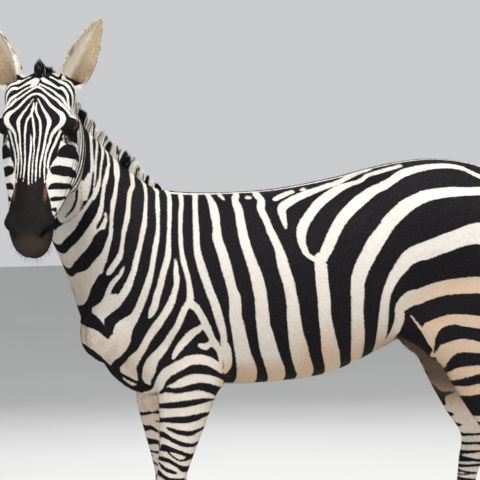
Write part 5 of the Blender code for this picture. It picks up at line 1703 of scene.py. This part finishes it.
def make_ear_hair(surface, finish):
    """Longer hair along the ears' rims and across the cups."""
    share = ear_share(surface.middle)
    cup, rim, up, _ = ear_marks(surface.middle)
    weight = (share > 0.3) * (rim * 2.2 + cup * 0.55 + 0.02)
    count = 5200
    root, out = surface.set_out(weight, count)
    way = lie(root, out)
    cup, rim, up, _ = ear_marks(root)
    stand = np.where(rim > 0.4, 0.16, 0.42)[:, None]
    way = unit(way + out * stand * rng.uniform(0.3, 1.0, (count, 1)) + rng.normal(0, 0.12, root.shape))
    length = np.where(rim > 0.4, 0.008, 0.017) * rng.uniform(0.6, 1.15, count) * (1.25 - 0.7 * up)
    marks = plain_marks(root)
    marks["cup"] = cup * 0.6
    marks["shade"] = rng.random(count) ** 2 * 0.35
    bend = -out * 0.25
    half = rng.uniform(0.0005, 0.0009, count)
    bristles("ear_hair", root - out * 0.0008, way, length, half, bend, marks, finish)


def neck_line(points):
    """Above 0 ahead of the cut between trunk and neck."""
    x, z = points[:, 0], points[:, 2]
    return -0.205 - (1.90 - z) * 0.475 - x


def make_coat(surface, finish):
    """The short coat, in pieces: head, neck, four quarters of the trunk, and each pair of legs."""
    middle = surface.middle
    local = moved(middle, HEAD_BACK)
    head = on_face(local) > 0
    ears = ear_share(middle) > 0.05
    head = head | ears
    neck = (neck_line(middle) > 0) & ~head
    x, y, z = middle.T
    legs = (z < 0.70) & ~head & ~neck
    tail = (x > 0.712) & (z < 1.2) & (abs(y) < 0.045) & (z > 0.80)
    trunk = ~(head | neck | legs | tail)

    def along_neck(p):
        axis = unit(np.array([-0.55, -0.25, 0.80]))
        flat = p - np.array([-0.62, -0.03, 1.25])
        around = np.arctan2(flat @ unit(np.cross(axis, [0, 1, 0])), flat[:, 1] + 0.06)
        return spread(around, -math.pi, math.pi), spread(flat @ axis)

    def round_trunk(p):
        return spread(p[:, 0]), spread(np.arctan2(p[:, 2] - 0.99, abs(p[:, 1])), -1.58, 1.58)

    def round_head(p):
        q = moved(p, HEAD_BACK)
        ear_here = ear_share(p) > 0.05
        u = spread(np.degrees(np.arctan2(-q[:, 0], q[:, 1] + FACE_AXIS)), -180, 180) * 0.72
        v = spread(q[:, 2], -0.08, 0.56)
        cup, _, up, _ = ear_marks(p)
        wide = np.sign(q[:, 0]) * 0.5 + 0.5
        u = np.where(ear_here, 0.76 + 0.10 * wide + 0.05 * cup + 0.035 * (q[:, 1] % 0.05) / 0.05, u)
        v = np.where(ear_here, 0.02 + 0.94 * up, v)
        return u, v

    def round_legs(p):
        side = (p[:, 1] > 0) * 0.5
        ahead = p[:, 0] < BETWEEN_LEGS
        centre = np.where(ahead, -0.44, 0.56) + swing(p)
        around = np.arctan2(abs(p[:, 1]) - 0.12, p[:, 0] - centre)
        return side + 0.47 * spread(around, -math.pi, math.pi), spread(p[:, 2], 0.0, 0.72)

    def body_length(p):
        return 0.0135 - 0.0035 * fade(p[:, 2], 0.75, 0.45) - 0.002 * fade(-p[:, 0], 0.5, 0.8)

    def head_length(p):
        q = moved(p, HEAD_BACK)
        return np.where(ear_share(p) > 0.05, 0.0085, 0.0075 - 0.0030 * fade(q[:, 2], 0.30, 0.46))

    def body_lift(p):
        return 0.0026 * (1 - 0.3 * fade(p[:, 2], 0.6, 0.3))

    few = 1.0
    tufts("coat_head", surface, head * (1.0 + 0.5 * ears), int(78000 * few), head_length,
          0.0017, lambda p: 0.0013, round_head, finish)
    tufts("coat_neck", surface, neck * 1.0, int(80000 * few), body_length,
          0.0030, body_lift, along_neck, finish)
    for word, side in (("left", y < 0), ("right", y >= 0)):
        for part, here in (("fore", x < 0.05), ("hind", x >= 0.05)):
            tufts(f"coat_{part}_{word}", surface, (trunk & side & here) * 1.0, int(68000 * few), body_length,
                  0.0030, body_lift, round_trunk, finish)
    for part, here in (("forelegs", x < BETWEEN_LEGS), ("hindlegs", x >= BETWEEN_LEGS)):
        weight = (legs & here) * (1.0 + 0.5 * (z < 0.5))
        tufts(f"coat_{part}", surface, weight, int(52000 * few), lambda p: body_length(p) * 0.9,
              0.0024, body_lift, round_legs, finish)
    tufts("coat_tail", surface, tail * 1.0, int(9000 * few), body_length,
          0.0030, body_lift, round_trunk, finish)


# ------------------------------------------------------------------ making the skin

skin = make_skin()
sculpt_body(skin)
finer(skin, near_details(spots(skin.data)))
sculpt_head(skin)
apply(skin, "TRIANGULATE")
where = spots(skin.data)
ink_there = abs(markings(where)["ink"])
keep = fade(ink_there, 0.9, 0.15) * 0.75
keep = np.maximum(keep, 0.80 * head_share(where))
keep = np.maximum(keep, 0.97 * near_details(where))
keep = np.maximum(keep, 0.85 * ear_share(where))
grip(skin, "loose", 1 - keep)
apply(skin, "DECIMATE", ratio=min(1.0, SKIN_FACES / len(skin.data.polygons)), vertex_group="loose")
skin.vertex_groups.clear()
skin.data.shade_smooth()
keep_marks(skin.data, all_marks(spots(skin.data)))

dress(skin, coat_finish("coat_skin", False))
COAT = []
fur = coat_finish("coat_tufts", True)
surface = Surface(skin.data)
make_coat(surface, fur)
make_mane(fur)
make_forelock(fur)
make_switch(fur)
make_lashes(fur)
make_whiskers(surface, fur)
make_ear_hair(surface, fur)


# ------------------------------------------------------------------ floor, places and finish

bpy.ops.object.select_all(action="DESELECT")
bpy.ops.mesh.primitive_plane_add(size=40.0, location=(0, 0, 0))
floor = bpy.context.object
floor.name = "floor"
floor.data.materials.append(floor_finish())

flesh = ["trunk", "neck", "head", "ear_left", "ear_right", "tail"]
flesh += [f"{pair}leg_{word}" for pair in ("fore", "hind") for word in ("left", "right")]
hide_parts(*flesh)
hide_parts("mane")
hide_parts("forelock")
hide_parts("tail_switch")
for obj in [skin, *COAT]:
    obj.data.transform(Matrix.Translation(-BOX_MIDDLE))
    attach(obj, "root")

horn, wet = hoof_finish(), eye_finish()
for name in ("forehoof_left", "forehoof_right", "hindhoof_left", "hindhoof_right"):
    bpy.data.objects[name].material_slots[0].material = horn
for name in ("eye_left", "eye_right"):
    bpy.data.objects[name].material_slots[0].material = wet
